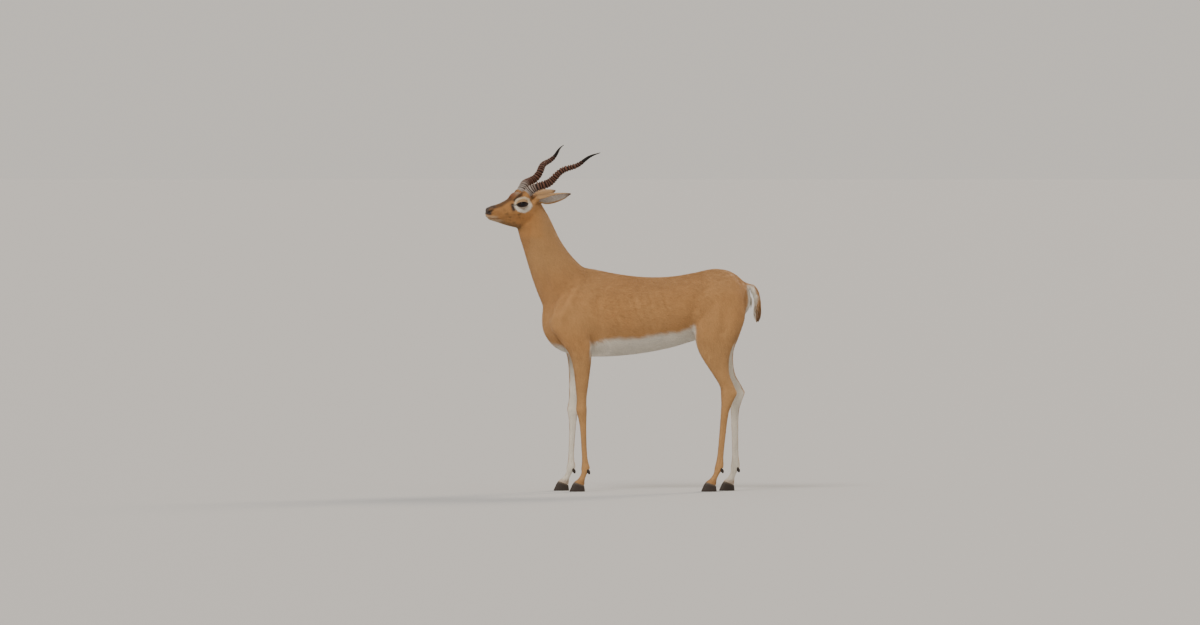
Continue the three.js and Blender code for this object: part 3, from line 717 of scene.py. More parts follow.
def leg_details(points):
    """Tendons of the cannons, bones of the joints and the cleft above the hooves."""
    amount = np.zeros(len(points))
    for name, side, stations, step in LEGS:
        rows = sample(stations, np.linspace(0, 1, 60))
        joint = KNEE_FORM if name.startswith("fore") else HOCK_FORM
        for start, end, reach, push in LEG_FORMS + [joint]:
            for out in (-1, 1):
                ends = []
                for z, behind, across in (start, end):
                    row = rows[np.argmin(np.abs(rows[:, 0] - z))]
                    ends.append([row[1] + step_at(step, z) + behind, side * row[2] + out * across, z])
                amount += push * near_line(points, *ends, reach)
    return amount


def ribs(points):
    x, _, z = points.T
    on_ribs = rising(x, -130, -90) * falling(x, 90, 150) * rising(z, 505, 560) * falling(z, 670, 720)
    return 0.3 * on_ribs * np.sin((x + 0.35 * (z - 620)) / 27 * 2 * np.pi)


def over_mouth(forward, out, up):
    """Height over the line between the lips, which rises a little under the nose."""
    parting = 3.5 * hump(out, 7) * rising(forward, 106, 118)
    return up - MOUTH_UP + 0.026 * (120 - forward) - parting


def face_details(points, normals):
    """Bones and folds of the face, lips, and the openings of the eyes."""
    here = to_head(points)
    forward, out, up = here.T
    ahead = rising(forward, MOUTH_CORNER - 3, MOUTH_CORNER + 3)
    line = over_mouth(forward, out, up)
    lips = 1.2 * hump(line - 5, 3.2) + 0.8 * hump(line + 4.5, 2.8) - 1.2 * hump(line, 1.1)
    philtrum = rising(forward, 108, 118) * hump(out, 1.6) * rising(up, -52, -46)
    amount = swell(here, FACE_FORMS) + ahead * lips - 1.2 * philtrum
    points = points + normals * amount[:, None]
    for side in (-1, 1):
        points = open_eye(points, side)
    return points


def eye_axes(side):
    """The way an eye looks, and the ways ahead and up across it."""
    look = mirrored(EYE_LOOK, side)
    level = np.array([1.0, 0.0, -0.1])
    level = unit(level - look * (level @ look))
    upward = np.cross(look, level)
    return np.array([look, level, upward * np.sign(upward[2])])


def eye_place(here, side):
    """How far out from an eye's middle places of the head lie, and how far ahead of it and above it."""
    return (here - mirrored(EYE_AT, side)) @ eye_axes(side).T


def opening_share(ahead, over):
    """How far places lie from an eye's middle, in shares of its opening."""
    return np.hypot(ahead / OPENING_LENGTH, over / OPENING_HEIGHT) * 2


def lid_height(share):
    """How high the upper lid's edge lies, at a share of half the opening's length."""
    return OPENING_HEIGHT / 2 * np.maximum(1 - share ** 1.9, 0) ** 0.85


def open_eye(points, side):
    """Draws the lids over the ball of the eye and opens them in an almond."""
    place = eye_place(to_head(points), side)
    radius = size_of(place)
    within = (radius < 40) & (place[:, 0] > 2)
    r = radius[within]
    x, y = (place[within, 1:] * (EYE_RADIUS / np.maximum(r, 1))[:, None]).T
    half_length = OPENING_LENGTH / 2
    corner = np.abs(np.clip(x / half_length, -1, 1))
    past_lid = (np.abs(y) - np.where(y > 0, 1.0, 0.95) * lid_height(corner)) * (1 - 0.45 * corner ** 4)
    past_corner = np.hypot(np.abs(x) - half_length, y)
    outside = np.where(np.abs(x) > half_length, past_corner, past_lid)
    rim = 1.1 * hump(outside - 1.5, 1.9)
    crease = np.where(y > 0, 1.5, 0.8) * hump(outside - 5.6, 1.6)
    fold = 0.9 * hump(outside - 8.8, 2.2)
    lid = np.maximum(r, EYE_RADIUS + 0.5) + rim - crease + fold
    inner = EYE_RADIUS - 3.5
    edge = inner + (lid - inner) * rising(outside, -1.0, 0.4)
    new = np.where(outside < 1.5, edge, r + (lid - r) * falling(outside, 12, 17))
    place[within] *= (new / np.maximum(r, 1))[:, None]
    return to_body(place @ eye_axes(side) + mirrored(EYE_AT, side))


def build_skin():
    skin = rough_skin()
    points, edges = read_points(skin), read_edges(skin)
    on_head = falling(-to_head(points)[:, 0], 60, 100) * rising(points[:, 2], 840, 900)
    on_leg = falling(points[:, 2], 330, 500)
    on_tail = rising(points[:, 0], 384, 396)
    points = relax(points, edges, 40, np.clip(1 - on_head - on_leg - on_tail, 0, 1))
    nape = near(points, to_body([-88, 0, -10]), 55)
    throat = near(points, to_body([-25, 0, -92]), 36)
    ears = sum(near(points, to_body(mirrored([-46, 36, 12], side)), 22) for side in (-1, 1))
    breast = hump(size_of((points - [-330, 0, 668]) / [45, 75, 62]), 1)
    points = relax(points, edges, 90, breast)
    points = relax(points, edges, 24, np.clip(nape + throat + ears, 0, 1))
    points = relax(points, edges, 12, np.ones(len(points)), keep_size=True)
    write_points(skin, points)
    amount = swell(points, BODY_FORMS) + swell(points, SPINE_FORMS, (1,)) + leg_details(points) + ribs(points)
    write_points(skin, points + read_normals(skin) * (amount * (1 - on_head))[:, None])

    def head_only(points):
        return to_head(points)[:, 0] > -95

    def whole_head(here):
        return (here[:, 0] > -95) & (here[:, 2] > -105) & (np.abs(here[:, 1]) < 62)

    def eyes_and_muzzle(here):
        lids = [size_of(here - mirrored(EYE_AT + 14 * EYE_LOOK, side)) < 27 for side in (-1, 1)]
        return lids[0] | lids[1] | (here[:, 0] > 62)

    for region in (whole_head, eyes_and_muzzle):
        refine(skin, region(to_head(read_points(skin))))
        points = read_points(skin)
        strength = head_only(points).astype(float)
        write_points(skin, relax(points, read_edges(skin), 5, strength, keep_size=True))
    points = face_details(read_points(skin), read_normals(skin))
    write_points(skin, points)
    points = read_points(skin)
    on_face = (to_head(points)[:, 0] > -60).astype(float)
    write_points(skin, relax(points, read_edges(skin), 1, on_face, keep_size=True))
    thin_out(skin, SKIN_TRIANGLES)
    unwrap(skin)
    return skin


# Colours of the coat

FAWN = np.array([0.46, 0.238, 0.088])
DEEP = np.array([0.29, 0.135, 0.048])
GOLD = np.array([0.52, 0.30, 0.125])
RED = np.array([0.26, 0.095, 0.042])
WHITE = np.array([0.74, 0.69, 0.60])
DARK = np.array([0.045, 0.028, 0.022])
CREAM = np.array([0.58, 0.46, 0.32])
FACE = np.array([0.45, 0.208, 0.062])
OLIVE = np.array([0.17, 0.10, 0.035])
UNDER_EYE = np.array([0.29, 0.215, 0.145])
# places along the body, and the height and the half width of the white belly there
BELLY_LINE = [[-330, -240, -100, 60, 150, 200, 260, 330], [520, 510, 535, 548, 566, 590, 600, 590]]
BELLY_SIDE = [[-330, -280, -200, -150, 150, 190, 260, 330], [26, 34, 52, 130, 130, 84, 62, 40]]


def mixed(a, b, share):
    return a + (b - a) * share


def layered(colours, *layers):
    """Colours with layers over them, each a share from 0 to 1 and a colour, the last one on top."""
    for share, colour in layers:
        share = np.clip(share, 0, 1)[:, None]
        colours = colours * (1 - share) + colour * share
    return colours


def waver(points, scale, seed=0):
    """A soft uneven value between -1 and 1, for the edges of the markings."""
    x, y, z = (points / scale + seed * 3.7).T
    return (np.sin(x * 1.7 + np.sin(z * 1.3)) + np.sin(z * 2.1 + np.sin(y * 1.9 + x))) / 2


def leg_place(points, side, stations, step):
    """Where points lie from a leg's middle, in shares of its size: out, behind, and how far in all."""
    z, x, out, long, wide = sample(stations, np.linspace(0, 1, 80))[::-1].T
    x, out, long, wide = (np.interp(points[:, 2], z, values) for values in (x, out, long, wide))
    out = (points[:, 1] * side - out) / wide
    behind = (points[:, 0] - x - step_at(step, points[:, 2])) / long
    return out, behind, np.hypot(behind, out)


def body_colours(points):
    """Fawn, darker along the back, with a white belly."""
    x, y, z = points.T
    belly_line = np.interp(x, *BELLY_LINE)
    belly_side = np.interp(x, *BELLY_SIDE)
    low = rising(belly_line - z + 5 * waver(points, 40) + 3 * waver(points, 13, 4), -12, 12)
    within = falling(np.abs(y) - belly_side, -8, 8)
    return layered(
        np.repeat(FAWN[None], len(points), 0),
        (rising(z, 620, 790) * 0.4, DEEP),
        (0.16 * waver(points, 60) + 0.12, GOLD),
        (low * rising(z, 420, 470) * within, WHITE),
    )


def leg_colours(points, colours):
    """White inside, fawn outside, darker in front and over the hooves."""
    z = points[:, 2]
    for name, side, stations, step in LEGS:
        out, behind, away = leg_place(points, side, stations, step)
        fade = (450, 520) if name.startswith("fore") else (500, 575)
        on_leg = falling(away, 1.15, 1.5) * falling(z, *fade)
        inside = rising(0.12 * waver(points, 20) - out, 0.15, 0.45)
        outer = on_leg * (1 - inside)
        colours = layered(
            colours,
            (outer, (FAWN + GOLD) / 2),
            (on_leg * inside, WHITE),
            (outer * rising(-behind, 0.45, 0.9) * (z < 420) * 0.35, DEEP),
            (on_leg * falling(z, 34, 46) * 0.5, DEEP),
        )
    return colours


def tail_colours(points, colours):
    """A white rump and tail, the tail fawn behind with a dark tip."""
    x, y, z = points.T
    rump = rising(x, 366, 382) * rising(z, 560, 600) * falling(z, 716, 728)
    tail = rising(x, 386, 394) * (z < 724)
    behind = tail * rising(x - np.interp(z, [590, 690, 724], [410, 409, 392]), -2, 3)
    return layered(
        colours,
        (rump * falling(np.abs(y), 30, 48), WHITE),
        (behind, FAWN * 0.8),
        (behind * falling(z, 615, 690), DEEP * 0.4),
    )


def head_colours(points, colours):
    """Mottled cheeks, a dark bridge and nose, a red crown, and pale lips and chin, with painted shade along
    the eyebrows, temples and nostrils and a painted pale sheen on top of the crown.
    """
    here = to_head(points)
    forward, out, up = here.T
    out = np.abs(out)
    places = points_of(forward, out, up)
    on_neck = rising(points[:, 2], 740, 820) * (forward < -40)
    on_head = rising(forward, -95, -60) * rising(up, -125, -105)
    cheek = hump(forward + 10, 45, up + 45, 38)
    mottle = rising(waver(here, 6.5) * waver(here, 11, 2) + 0.35 * waver(here, 3.2, 5), 0.05, 0.6)
    lower_face = hump(forward - 30, 42, up + 45, 26)
    over_jaw = up - np.interp(forward, [-30, 0, 30, 60, 90], [-86, -84, -78, -70, -64])
    jaw = hump(over_jaw, 12) * rising(forward, -30, 0) * falling(forward, 55, 85)
    over_bridge = up - np.interp(forward, [0, 40, 70, 120], [20, 5, -12, -26])
    bridge = rising(over_bridge, -4, 5) * rising(forward, 18, 34)
    crown = hump(forward - 16, 24, up - 29, 15, out, 19)
    # painted highlight: a pale cream patch on top of the crown stands in for a sheen of light on the hair
    crown_sheen = hump(forward - 10, 10, up - 29, 8, out - 9, 8)
    # painted shade: a dark line along the crease between forehead and eyebrow, running on over the temple to
    # the horn's foot
    brow_shade = near_line(places, [23, 21, 10], [4, 21, 25], 5.2)
    temple_shade = near_line(places, [6, 21, 25], [-18, 28, 40], 6.5)
    mouth = over_mouth(forward, out, up)
    chin = rising(-mouth - 0.5 + 1.5 * waver(here, 9), -1, 3) * rising(forward, 48, 84)
    lip = hump(mouth - 5, 5) * rising(forward, 78, 98)
    line = hump(mouth, 1.2) * rising(forward, MOUTH_CORNER, MOUTH_CORNER + 14)
    nose = rising(forward, 107, 114) * rising(up, -43, -38) * falling(out, 20, 25)
    wing = rising(up, -29, -20) * rising(out, 6, 14)
    muzzle_top = rising(forward, 84, 98) * rising(up, -18, -13)
    # painted shade: each nostril's slit is painted darker than the nose pad, for the shade inside the opening
    nostril_shade = near_line(places, [118, 13.5, -31], [107, 21.5, -24.5], 4.2)
    return layered(
        colours,
        (on_neck * 0.55, GOLD * 0.85),
        (on_head * (0.45 + 0.5 * cheek), FACE),
        (on_head * mottle * (0.15 + 0.75 * lower_face), OLIVE),
        (on_head * jaw * 0.65, OLIVE),
        (on_head * bridge * 0.95, DEEP * 0.45),
        (on_head * crown * 1.3, RED),
        # the painted highlight on top of the crown
        (on_head * crown_sheen * 0.75, CREAM * 0.85),
        # the painted shade along the eyebrow crease and over the temple
        (on_head * brow_shade * 1.3, DARK),
        (on_head * temple_shade * 0.9, DEEP * 0.35),
        (on_head * chin * (0.62 - 0.35 * mottle), CREAM * 0.82),
        (on_head * lip * (0.58 - 0.3 * mottle), CREAM * 0.85),
        (on_head * line * 0.6, DARK * 2.4),
        (nose * (1 - 0.85 * wing), DARK),
        (on_head * muzzle_top * 0.9, DARK * 1.4),
        # the painted shade inside the nostrils
        (nostril_shade * 1.2, DARK * 0.6),
    )


def eye_colours(points, colours):
    """A white ring with a tan hood, dark rims, and the dark gland before the eye."""
    here = to_head(points)
    for side in (-1, 1):
        place = eye_place(here, side)
        outward, ahead, over = place.T
        facing = rising(outward, -8, -2)
        ring = np.hypot((ahead + 2) / 1.4, over / 1.07 + 0.8) + 0.9 * waver(here, 7)
        white = np.where(over[:, None] > 4, WHITE * [0.9, 0.82, 0.68], WHITE)
        tan = np.where(over[:, None] > 0, GOLD * 0.75, UNDER_EYE)
        inner = 15.0 + 4.0 * rising(over, 2, 9) - 2.5 * rising(-ahead, 2, 14)
        hood = falling(ring, inner - 2, inner + 2) * (0.65 + 0.2 * rising(over, 0, 6))
        lid = opening_share(ahead, over)
        corner = near_line(place, [17, OPENING_LENGTH / 2, 0], [13, 21.5, -2], 2.4)
        gland = near_line(here, mirrored([33.5, 25.5, -5], side), mirrored([30, 31, -20], side), 6.0)
        colours = layered(
            colours,
            (facing * falling(ring, 22.5, 26), white),
            (facing * hood, tan),
            (facing * falling(lid, 1.12, 1.3), DARK * 0.6),
            (facing * corner, DARK),
            (gland * 1.35, DARK),
        )
    return colours


def markings(points):
    """The coat's colour at each point, the same for the skin and the tufts."""
    colours = body_colours(points)
    for add_colours in (leg_colours, tail_colours, head_colours, eye_colours):
        colours = add_colours(points, colours)
    return np.clip(colours, 0, 1)


# Materials

class Shading:
    """One material. Each call that adds a node gives back that node's output."""

    def __init__(self, name):
        self.material = bpy.data.materials.new(name)
        self.material.use_nodes = True
        self.shader = self.material.node_tree.nodes["Principled BSDF"]

    def feed(self, node, values):
        """Sets sockets, each to a plain value or to another node's output."""
        for socket, value in values.items():
            if isinstance(value, bpy.types.NodeSocket):
                self.material.node_tree.links.new(value, node.inputs[socket])
            else:
                node.inputs[socket].default_value = value

    def add(self, kind, output, values=None, **settings):
        node = self.material.node_tree.nodes.new(f"ShaderNode{kind}")
        for name, value in settings.items():
            setattr(node, name, value)
        self.feed(node, values or {})
        return node.outputs[output]

    def noise(self, place, scale, detail):
        return self.add("TexNoise", "Fac", {"Vector": place, "Scale": scale, "Detail": detail})

    def spread(self, value, low, high, start=0.3, end=0.7):
        ends = {"From Min": start, "From Max": end, "To Min": low, "To Max": high}
        return self.add("MapRange", "Result", {"Value": value, **ends})

    def colour(self, tone):
        """The mesh's own colours, made lighter or darker by a tone."""
        coat = self.add("Attribute", "Color", attribute_name="Coat")
        tinted = self.add("VectorMath", "Vector", {0: coat, "Scale": tone}, operation="SCALE")
        self.feed(self.shader, {"Base Color": tinted})

    def bump(self, height, strength, distance):
        normal = self.add("Bump", "Normal", {"Height": height, "Strength": strength, "Distance": distance})
        self.feed(self.shader, {"Normal": normal})


def coat_material(name, bump_scale, bump_strength, roughness):
    shading = Shading(name)
    place = shading.add("TexCoord", "Object")
    fine = shading.noise(place, bump_scale, 3)
    patches = shading.noise(place, 24, 4)
    both = {0: shading.spread(fine, 0.84, 1.14), 1: shading.spread(patches, 0.94, 1.05)}
    shading.colour(shading.add("Math", "Value", both, operation="MULTIPLY"))
    shading.bump(fine, bump_strength, 0.0015)
    gloss = {"Roughness": roughness, "Specular IOR Level": 0.25, "Sheen Weight": 0.18, "Sheen Roughness": 0.5}
    shading.feed(shading.shader, gloss)
    return shading.material


def horn_material(name, roughness, scale, stretch, strength):
    """Keratin: the mesh's own colours, fine streaks along it, and a dull polish."""
    shading = Shading(name)
    place = shading.add("UVMap", "UV", uv_map="Lengthwise")
    place = shading.add("Mapping", "Vector", {"Vector": place, "Scale": stretch})
    streaks = shading.noise(place, scale, 5)
    shading.colour(shading.spread(streaks, 0.75, 1.25))
    shading.bump(streaks, strength, 0.001)
    shading.feed(shading.shader, {"Roughness": roughness, "Specular IOR Level": 0.2})
    return shading.material


def eye_material():
    shading = Shading("wet_eye")
    grain = shading.noise(shading.add("TexCoord", "Object"), 700, 2)
    shading.colour(shading.spread(grain, 0.8, 1.2, 0, 1))
    shading.feed(shading.shader, {"Roughness": 0.06, "Specular IOR Level": 0.25})
    return shading.material


def floor_material():
    shading = Shading("pale_floor")
    shading.feed(shading.shader, {"Base Color": (0.447, 0.457, 0.476, 1), "Roughness": 0.9})
    return shading.material


EYE_MATERIAL = eye_material()
SKIN_MATERIAL = coat_material("short_fur_ground", 900, 0.5, 0.78)
TUFT_MATERIAL = coat_material("short_fur", 500, 0.15, 0.7)
HORN_MATERIAL = horn_material("ringed_horn", 0.5, 6.0, (14.0, 2.5, 1.0), 0.35)
HOOF_MATERIAL = horn_material("hoof_horn", 0.38, 9.0, (3.0, 12.0, 1.0), 0.3)


# Horns

def horn_ridges(side, t, angle):
    """How far each point of a horn lies up the side of its ring, from 0 to 1, and how strong that ring is."""
    along = np.clip((t - RINGED[0]) / (RINGED[1] - RINGED[0]), -0.2, 1.2)
    count = signed_power(along, 1 / 1.05) * (HORN_RINGS - 1) + 0.10 * np.sin(angle + 0.6)
    count = count + 0.12 * np.sin(count * 2.3 + side)
    turn = (count + 0.5) % 1.0
    climb = np.sin(np.clip(turn / RIDGE_CLIMB, 0, 1) * np.pi / 2) ** 1.2
    drop = np.cos(np.clip((turn - RIDGE_CLIMB) / (1 - RIDGE_CLIMB), 0, 1) * np.pi / 2) ** 0.8
    strengths = rng.uniform(0.75, 1.2, HORN_RINGS + 12)
    strength = strengths[np.clip(np.round(count).astype(int) + 5, 0, HORN_RINGS + 11)]
    height = (2.5 - 1.3 * np.clip(along, 0, 1)) * strength * (1 + 0.25 * np.sin(angle))
    return np.where(turn < RIDGE_CLIMB, climb, drop), height


def build_horn(label, side):
    t = np.concatenate([np.linspace(-0.06, 0.0, 8), np.linspace(0.004, 1, 400)])[:, None]
    sides = 48
    angle = circle(sides)
    ridge, height = horn_ridges(side, t, angle)
    fade = rising(t, 0.0, 0.04) * falling(t, RINGED[1] - 0.01, RINGED[1] + 0.06)
    knots = 0.25 * np.sin(3 * angle + 9 * t)
    tip = np.sqrt(np.clip((1.0 - t) / 0.012, 0, 1))
    girth = sample(HORN_GIRTH, np.clip(t[:, 0], 0, 1))
    radius = np.maximum((girth + (height * (2 * ridge - 1) + knots) * fade) * tip, 0.05)
    horn = make_object(f"horn_{label}_ringed", *tube(horn_rings(side, t, radius, sides)))

    dark = np.array([0.007, 0.0035, 0.0025])
    brown = np.array([0.150, 0.068, 0.046])
    foot_highlight_grey = np.array([0.46, 0.41, 0.37])
    # The ring crests are painted lighter brown as painted highlights and the grooves near black as painted
    # shade, over the horn's own dark colour.
    crest = mixed(ridge * fade, 1, 0.7 * falling(t, 0.01, 0.05))[..., None]
    # painted highlight: a greyish pale sheen over the crests near the horn's foot
    foot_highlight = falling(t, 0.02, 0.2)[..., None]
    colours = mixed(dark, brown, 0.04 + 0.9 * crest ** 2.2)
    colours = mixed(colours, foot_highlight_grey, foot_highlight * (0.04 + 0.86 * crest ** 1.6))
    colours = colours * (1 - 0.7 * rising(t, 0.64, 0.82))[..., None]
    write_colours(horn, with_ends(colours))
    around = np.linspace(0, 1, sides)[None, :]
    write_map(horn, "Lengthwise", with_ends(np.stack(np.broadcast_arrays(around, t), -1)))
    finish_piece(horn, HORN_MATERIAL, "horn", f"horn_{label}")


# Eyes

def build_eye(label, side):
    look, level, upward = eye_axes(side)
    rings, polar = globe(70, 72, 0.001, 1.75)
    bulge = 1 + 0.045 * np.exp(-(polar / 0.62) ** 4)
    local = rings * (EYE_RADIUS * bulge * 0.985)[..., None]
    x, y = local[..., 0], local[..., 1]
    eye = make_object(
        f"eye_{label}_ball",
        *tube(to_body(mirrored(EYE_AT, side) + local @ np.array([level, upward, look]))),
    )
    off = np.hypot(x, y)
    iris = falling(off, IRIS - 0.4, IRIS + 0.6)[..., None]
    pupil = falling(np.hypot(x / PUPIL_LENGTH, y / PUPIL_HEIGHT), 0.92, 1.05)[..., None]
    spokes = 0.5 + 0.5 * np.sin(38 * np.arctan2(y, x) + 3 * np.sin(off))[..., None]
    white = np.array([0.045, 0.030, 0.024])
    brown = np.array([0.012, 0.005, 0.0025])
    black = np.array([0.004, 0.004, 0.006])
    colours = mixed(white, brown * (0.75 + 0.5 * spokes), iris)
    colours = mixed(colours * (1 - 0.85 * hump(off - IRIS, 1.0))[..., None], black, pupil)
    write_colours(eye, with_ends(colours))
    finish_piece(eye, EYE_MATERIAL, "eye", f"eye_{label}")


# Ears

def ear_outline(share):
    """Roll, radius and thickness of the ear's cup at shares of its length."""
    half, roll, thick = sample(EAR, share).T
    roll = np.radians(roll)
    return roll, half / np.sin(np.minimum(roll, np.pi / 2)), thick


def ear_surface(side, depth, share, around):
    """One face of the ear's leaf, at a share of its thickness, from the outside in."""
    along, open_way, across = ear_axes(side)
    roll, outer, thick = ear_outline(share)
    radius = (outer - depth * thick)[:, None]
    middles = mirrored(EAR_ROOT, side) + along * (0.3 + (EAR_LENGTH - 0.3) * share)[:, None]
    middles = middles + open_way * (outer - EAR[0][0])[:, None]
    angle = roll[:, None] * around[None]
    return (
        middles[:, None]
        - open_way * (radius * np.cos(angle))[..., None]
        + across * (radius * np.sin(angle))[..., None]
    )


def ear_place(points, side):
    """Where places on an ear lie: share of its length, and of its width from -1 to 1."""
    along, open_way, across = ear_axes(side)
    here = to_head(points) - mirrored(EAR_ROOT, side)
    share = np.clip(here @ along / EAR_LENGTH, 0, 1)
    roll, outer, _ = ear_outline(share)
    return share, np.arctan2(here @ across, outer - EAR[0][0] - here @ open_way) / roll


def leaf_faces(points, rows, wide):
    """Triangles of a leaf whose points are a grid outside and, after it, the same grid inside."""
    grid = rows * wide
    r, c = np.meshgrid(np.arange(rows - 1), np.arange(wide - 1), indexing="ij")
    a = (r * wide + c).ravel()
    quads = [np.stack([a, a + 1, a + wide + 1, a + wide], 1)]
    quads.append(quads[0][:, ::-1] + grid)
    near_edge, root = np.arange(rows - 1) * wide, np.arange(wide - 1)
    far_edge, tip = near_edge + wide - 1, root + (rows - 1) * wide
    for start, end in (
        (near_edge, near_edge + wide), (far_edge + wide, far_edge), (root + 1, root), (tip, tip + 1),
    ):
        quads.append(np.stack([start, end, end + grid, start + grid], 1))
    faces = np.vstack(quads)
    return facing_out(points, np.vstack([faces[:, [0, 1, 2]], faces[:, [0, 2, 3]]]))


def build_ear(label, side):
    rows, wide = 60, 41
    share, around = np.linspace(0, 1, rows), np.linspace(-1, 1, wide)
    outside = ear_surface(side, 0.28, share, around)
    inside = ear_surface(side, 0.95, share, around)
    # folds of gristle inside
    fold = 0.72 * np.cos(around * 9) * (1 - np.abs(around)) * falling(share, 0.5, 0.8)[:, None]
    inside = inside + unit(inside - outside) * fold[..., None]
    points = np.vstack([outside.reshape(-1, 3), inside.reshape(-1, 3)])
    ear = make_object(f"ear_{label}_leaf", to_body(points), leaf_faces(points, rows, wide))
    unwrap(ear)
    pale = np.array([0.62, 0.56, 0.50])
    pink = np.array([0.34, 0.22, 0.18])
    back = np.array([0.43, 0.26, 0.125])
    tip = rising(share, 0.82, 1.0)[:, None, None]
    rim = rising(np.abs(around), 0.74, 0.94)[None, :, None]
    depths = np.abs(around)[None, :, None]
    outer_colour = mixed(back, DEEP * 0.45, tip) + np.zeros((rows, wide, 1))
    # Inside the cup the pale colour is painted darker towards the middle as painted shade in the hollow, over
    # the real pink skin there; the edges are golden hair.
    inner_colour = mixed(pale * (0.35 + 0.65 * depths) + pink * 0.65 * (1 - depths), GOLD * 1.05, rim)
    inner_colour = mixed(inner_colour, DEEP * 0.5, tip * 0.8)
    write_colours(ear, np.vstack([outer_colour.reshape(-1, 3), inner_colour.reshape(-1, 3)]))
    finish_piece(ear, SKIN_MATERIAL, "ear", f"ear_{label}")
    return ear


# Hooves

def claw_rings(sides):
    """One claw, cut off along the coronet, and the share of its height that each ring has."""
    high, before, behind, wide = columns(CLAW, 48)
    high = np.clip(high, 0, 1)
    angle = circle(sides)
    ahead = np.cos(angle)
    reach = HOOF_LENGTH * np.where(ahead > 0, 0.62 * before, 0.38 * behind)
    pointed = np.where(ahead > 0, 1 - 0.5 * ahead ** 3, 1.0)
    growth = 1 + 0.007 * np.sin(high * 70 + 3 * np.sin(high * 23)) * rising(high, 0.06, 0.15)
    x = -reach * ahead * growth
    y = CLAW_WIDTH / 2 * wide * signed_power(np.sin(angle), 0.8) * pointed * growth
    return points_of(x, y, high * (CORONET_Z - CORONET_SLOPE * (x - 2))), high


def turned(points, angle):
    c, s = math.cos(angle), math.sin(angle)
    return points @ np.array([[c, s, 0], [-s, c, 0], [0, 0, 1]])


def build_hooves(name, side, stations, step):
    sides = 40
    foot_z, foot_x, foot_out, _, _ = stations[FOOT_ROW]
    foot = np.array([foot_x + step_at(step, foot_z) - 1, side * foot_out, 0])
    rings, high = claw_rings(sides)
    claw_points, claw_faces = tube(rings)
    parts, shares = [], []
    for out in (side, -side):
        place = foot + np.array([0, out * CLAW_SPREAD, 0])
        parts.append((turned(claw_points, -out * CLAW_TURN) + place, claw_faces))
        shares += [np.repeat(high, sides), [0.0, 1.0]]
    fetlock_z, fetlock_x, fetlock_out, fetlock_long, _ = stations[FETLOCK_ROW]
    z, x, long, wide = columns(DEWCLAW, 20)
    x = x + fetlock_x + step_at(step, fetlock_z) + fetlock_long - 6
    for out in (-1, 1):
        y = np.full_like(x, side * fetlock_out + out * DEWCLAW_SPREAD)
        middles = np.hstack([x, y, fetlock_z - 10 + z])
        parts.append(tube(ovals(middles, [1, 0, 0], [0, 1, 0], long, wide, 20)))
        shares.append(np.full(len(parts[-1][0]), 0.4))
    points, faces = gather(parts)
    hooves = make_object(f"{name}_hooves", points, faces)
    share = np.concatenate(shares)[:, None]
    band = 0.5 + 0.5 * np.sin(share * 44)
    colours = np.array([0.034, 0.026, 0.022]) + np.array([0.022, 0.017, 0.014]) * band
    write_colours(hooves, colours + np.array([0.07, 0.055, 0.04]) * rising(share, 0.72, 0.97))
    around = np.arctan2(points[:, 1] - foot[1], points[:, 0] - foot[0]) / 6.28
    write_map(hooves, "Lengthwise", np.stack([around, points[:, 2] / 60], 1))
    finish_piece(hooves, HOOF_MATERIAL, "hoof", f"{name}_hoof_outer", f"{name}_hoof_inner")


# The coat: tufts that lie along the body

# place, way the hair lies, both in the buck's frame and alike on both sides
LIE = [
    ([-372, 20, 960], [0.35, 0.05, -0.9]),
    ([-340, 30, 840], [0.36, 0.05, -0.9]),
    ([-300, 40, 740], [0.5, 0.05, -0.85]),
    ([-335, 10, 620], [0.05, 0.2, -1.0]),
    ([-300, 0, 500], [0.7, 0.2, -0.7]),
    ([-240, 80, 700], [0.7, 0.1, -0.7]),
    ([-220, 90, 600], [0.45, 0.05, -0.9]),
    ([-215, 90, 500], [0.15, 0.0, -1.0]),
    ([-170, 10, 780], [0.95, 0.1, -0.1]),
    ([-100, 100, 640], [0.95, 0.0, -0.35]),
    ([20, 110, 630], [0.97, 0.0, -0.28]),
    ([20, 0, 480], [1.0, 0.0, 0.0]),
    ([20, 10, 755], [1.0, 0.1, 0.0]),
    ([150, 105, 620], [0.92, 0.0, -0.45]),
    ([180, 10, 770], [1.0, 0.1, 0.0]),
    ([230, 95, 700], [0.85, 0.0, -0.6]),
    ([300, 60, 770], [0.85, 0.2, -0.4]),
    ([290, 100, 600], [0.3, 0.0, -1.0]),
    ([360, 50, 700], [0.35, 0.15, -0.95]),
    ([270, 80, 500], [0.1, 0.0, -1.0]),
    ([310, 66, 380], [0.15, 0.0, -1.0]),
    ([317, 62, 220], [0.0, 0.0, -1.0]),
    ([300, 58, 60], [-0.3, 0.0, -1.0]),
    ([-213, 68, 380], [0.0, 0.0, -1.0]),
    ([-215, 58, 200], [0.0, 0.0, -1.0]),
    ([-222, 57, 60], [-0.35, 0.0, -1.0]),
    ([398, 0, 710], [0.6, 0.0, -0.9]),
    ([412, 0, 640], [0.0, 0.0, -1.0]),
]
LIE_REACH = 55.0
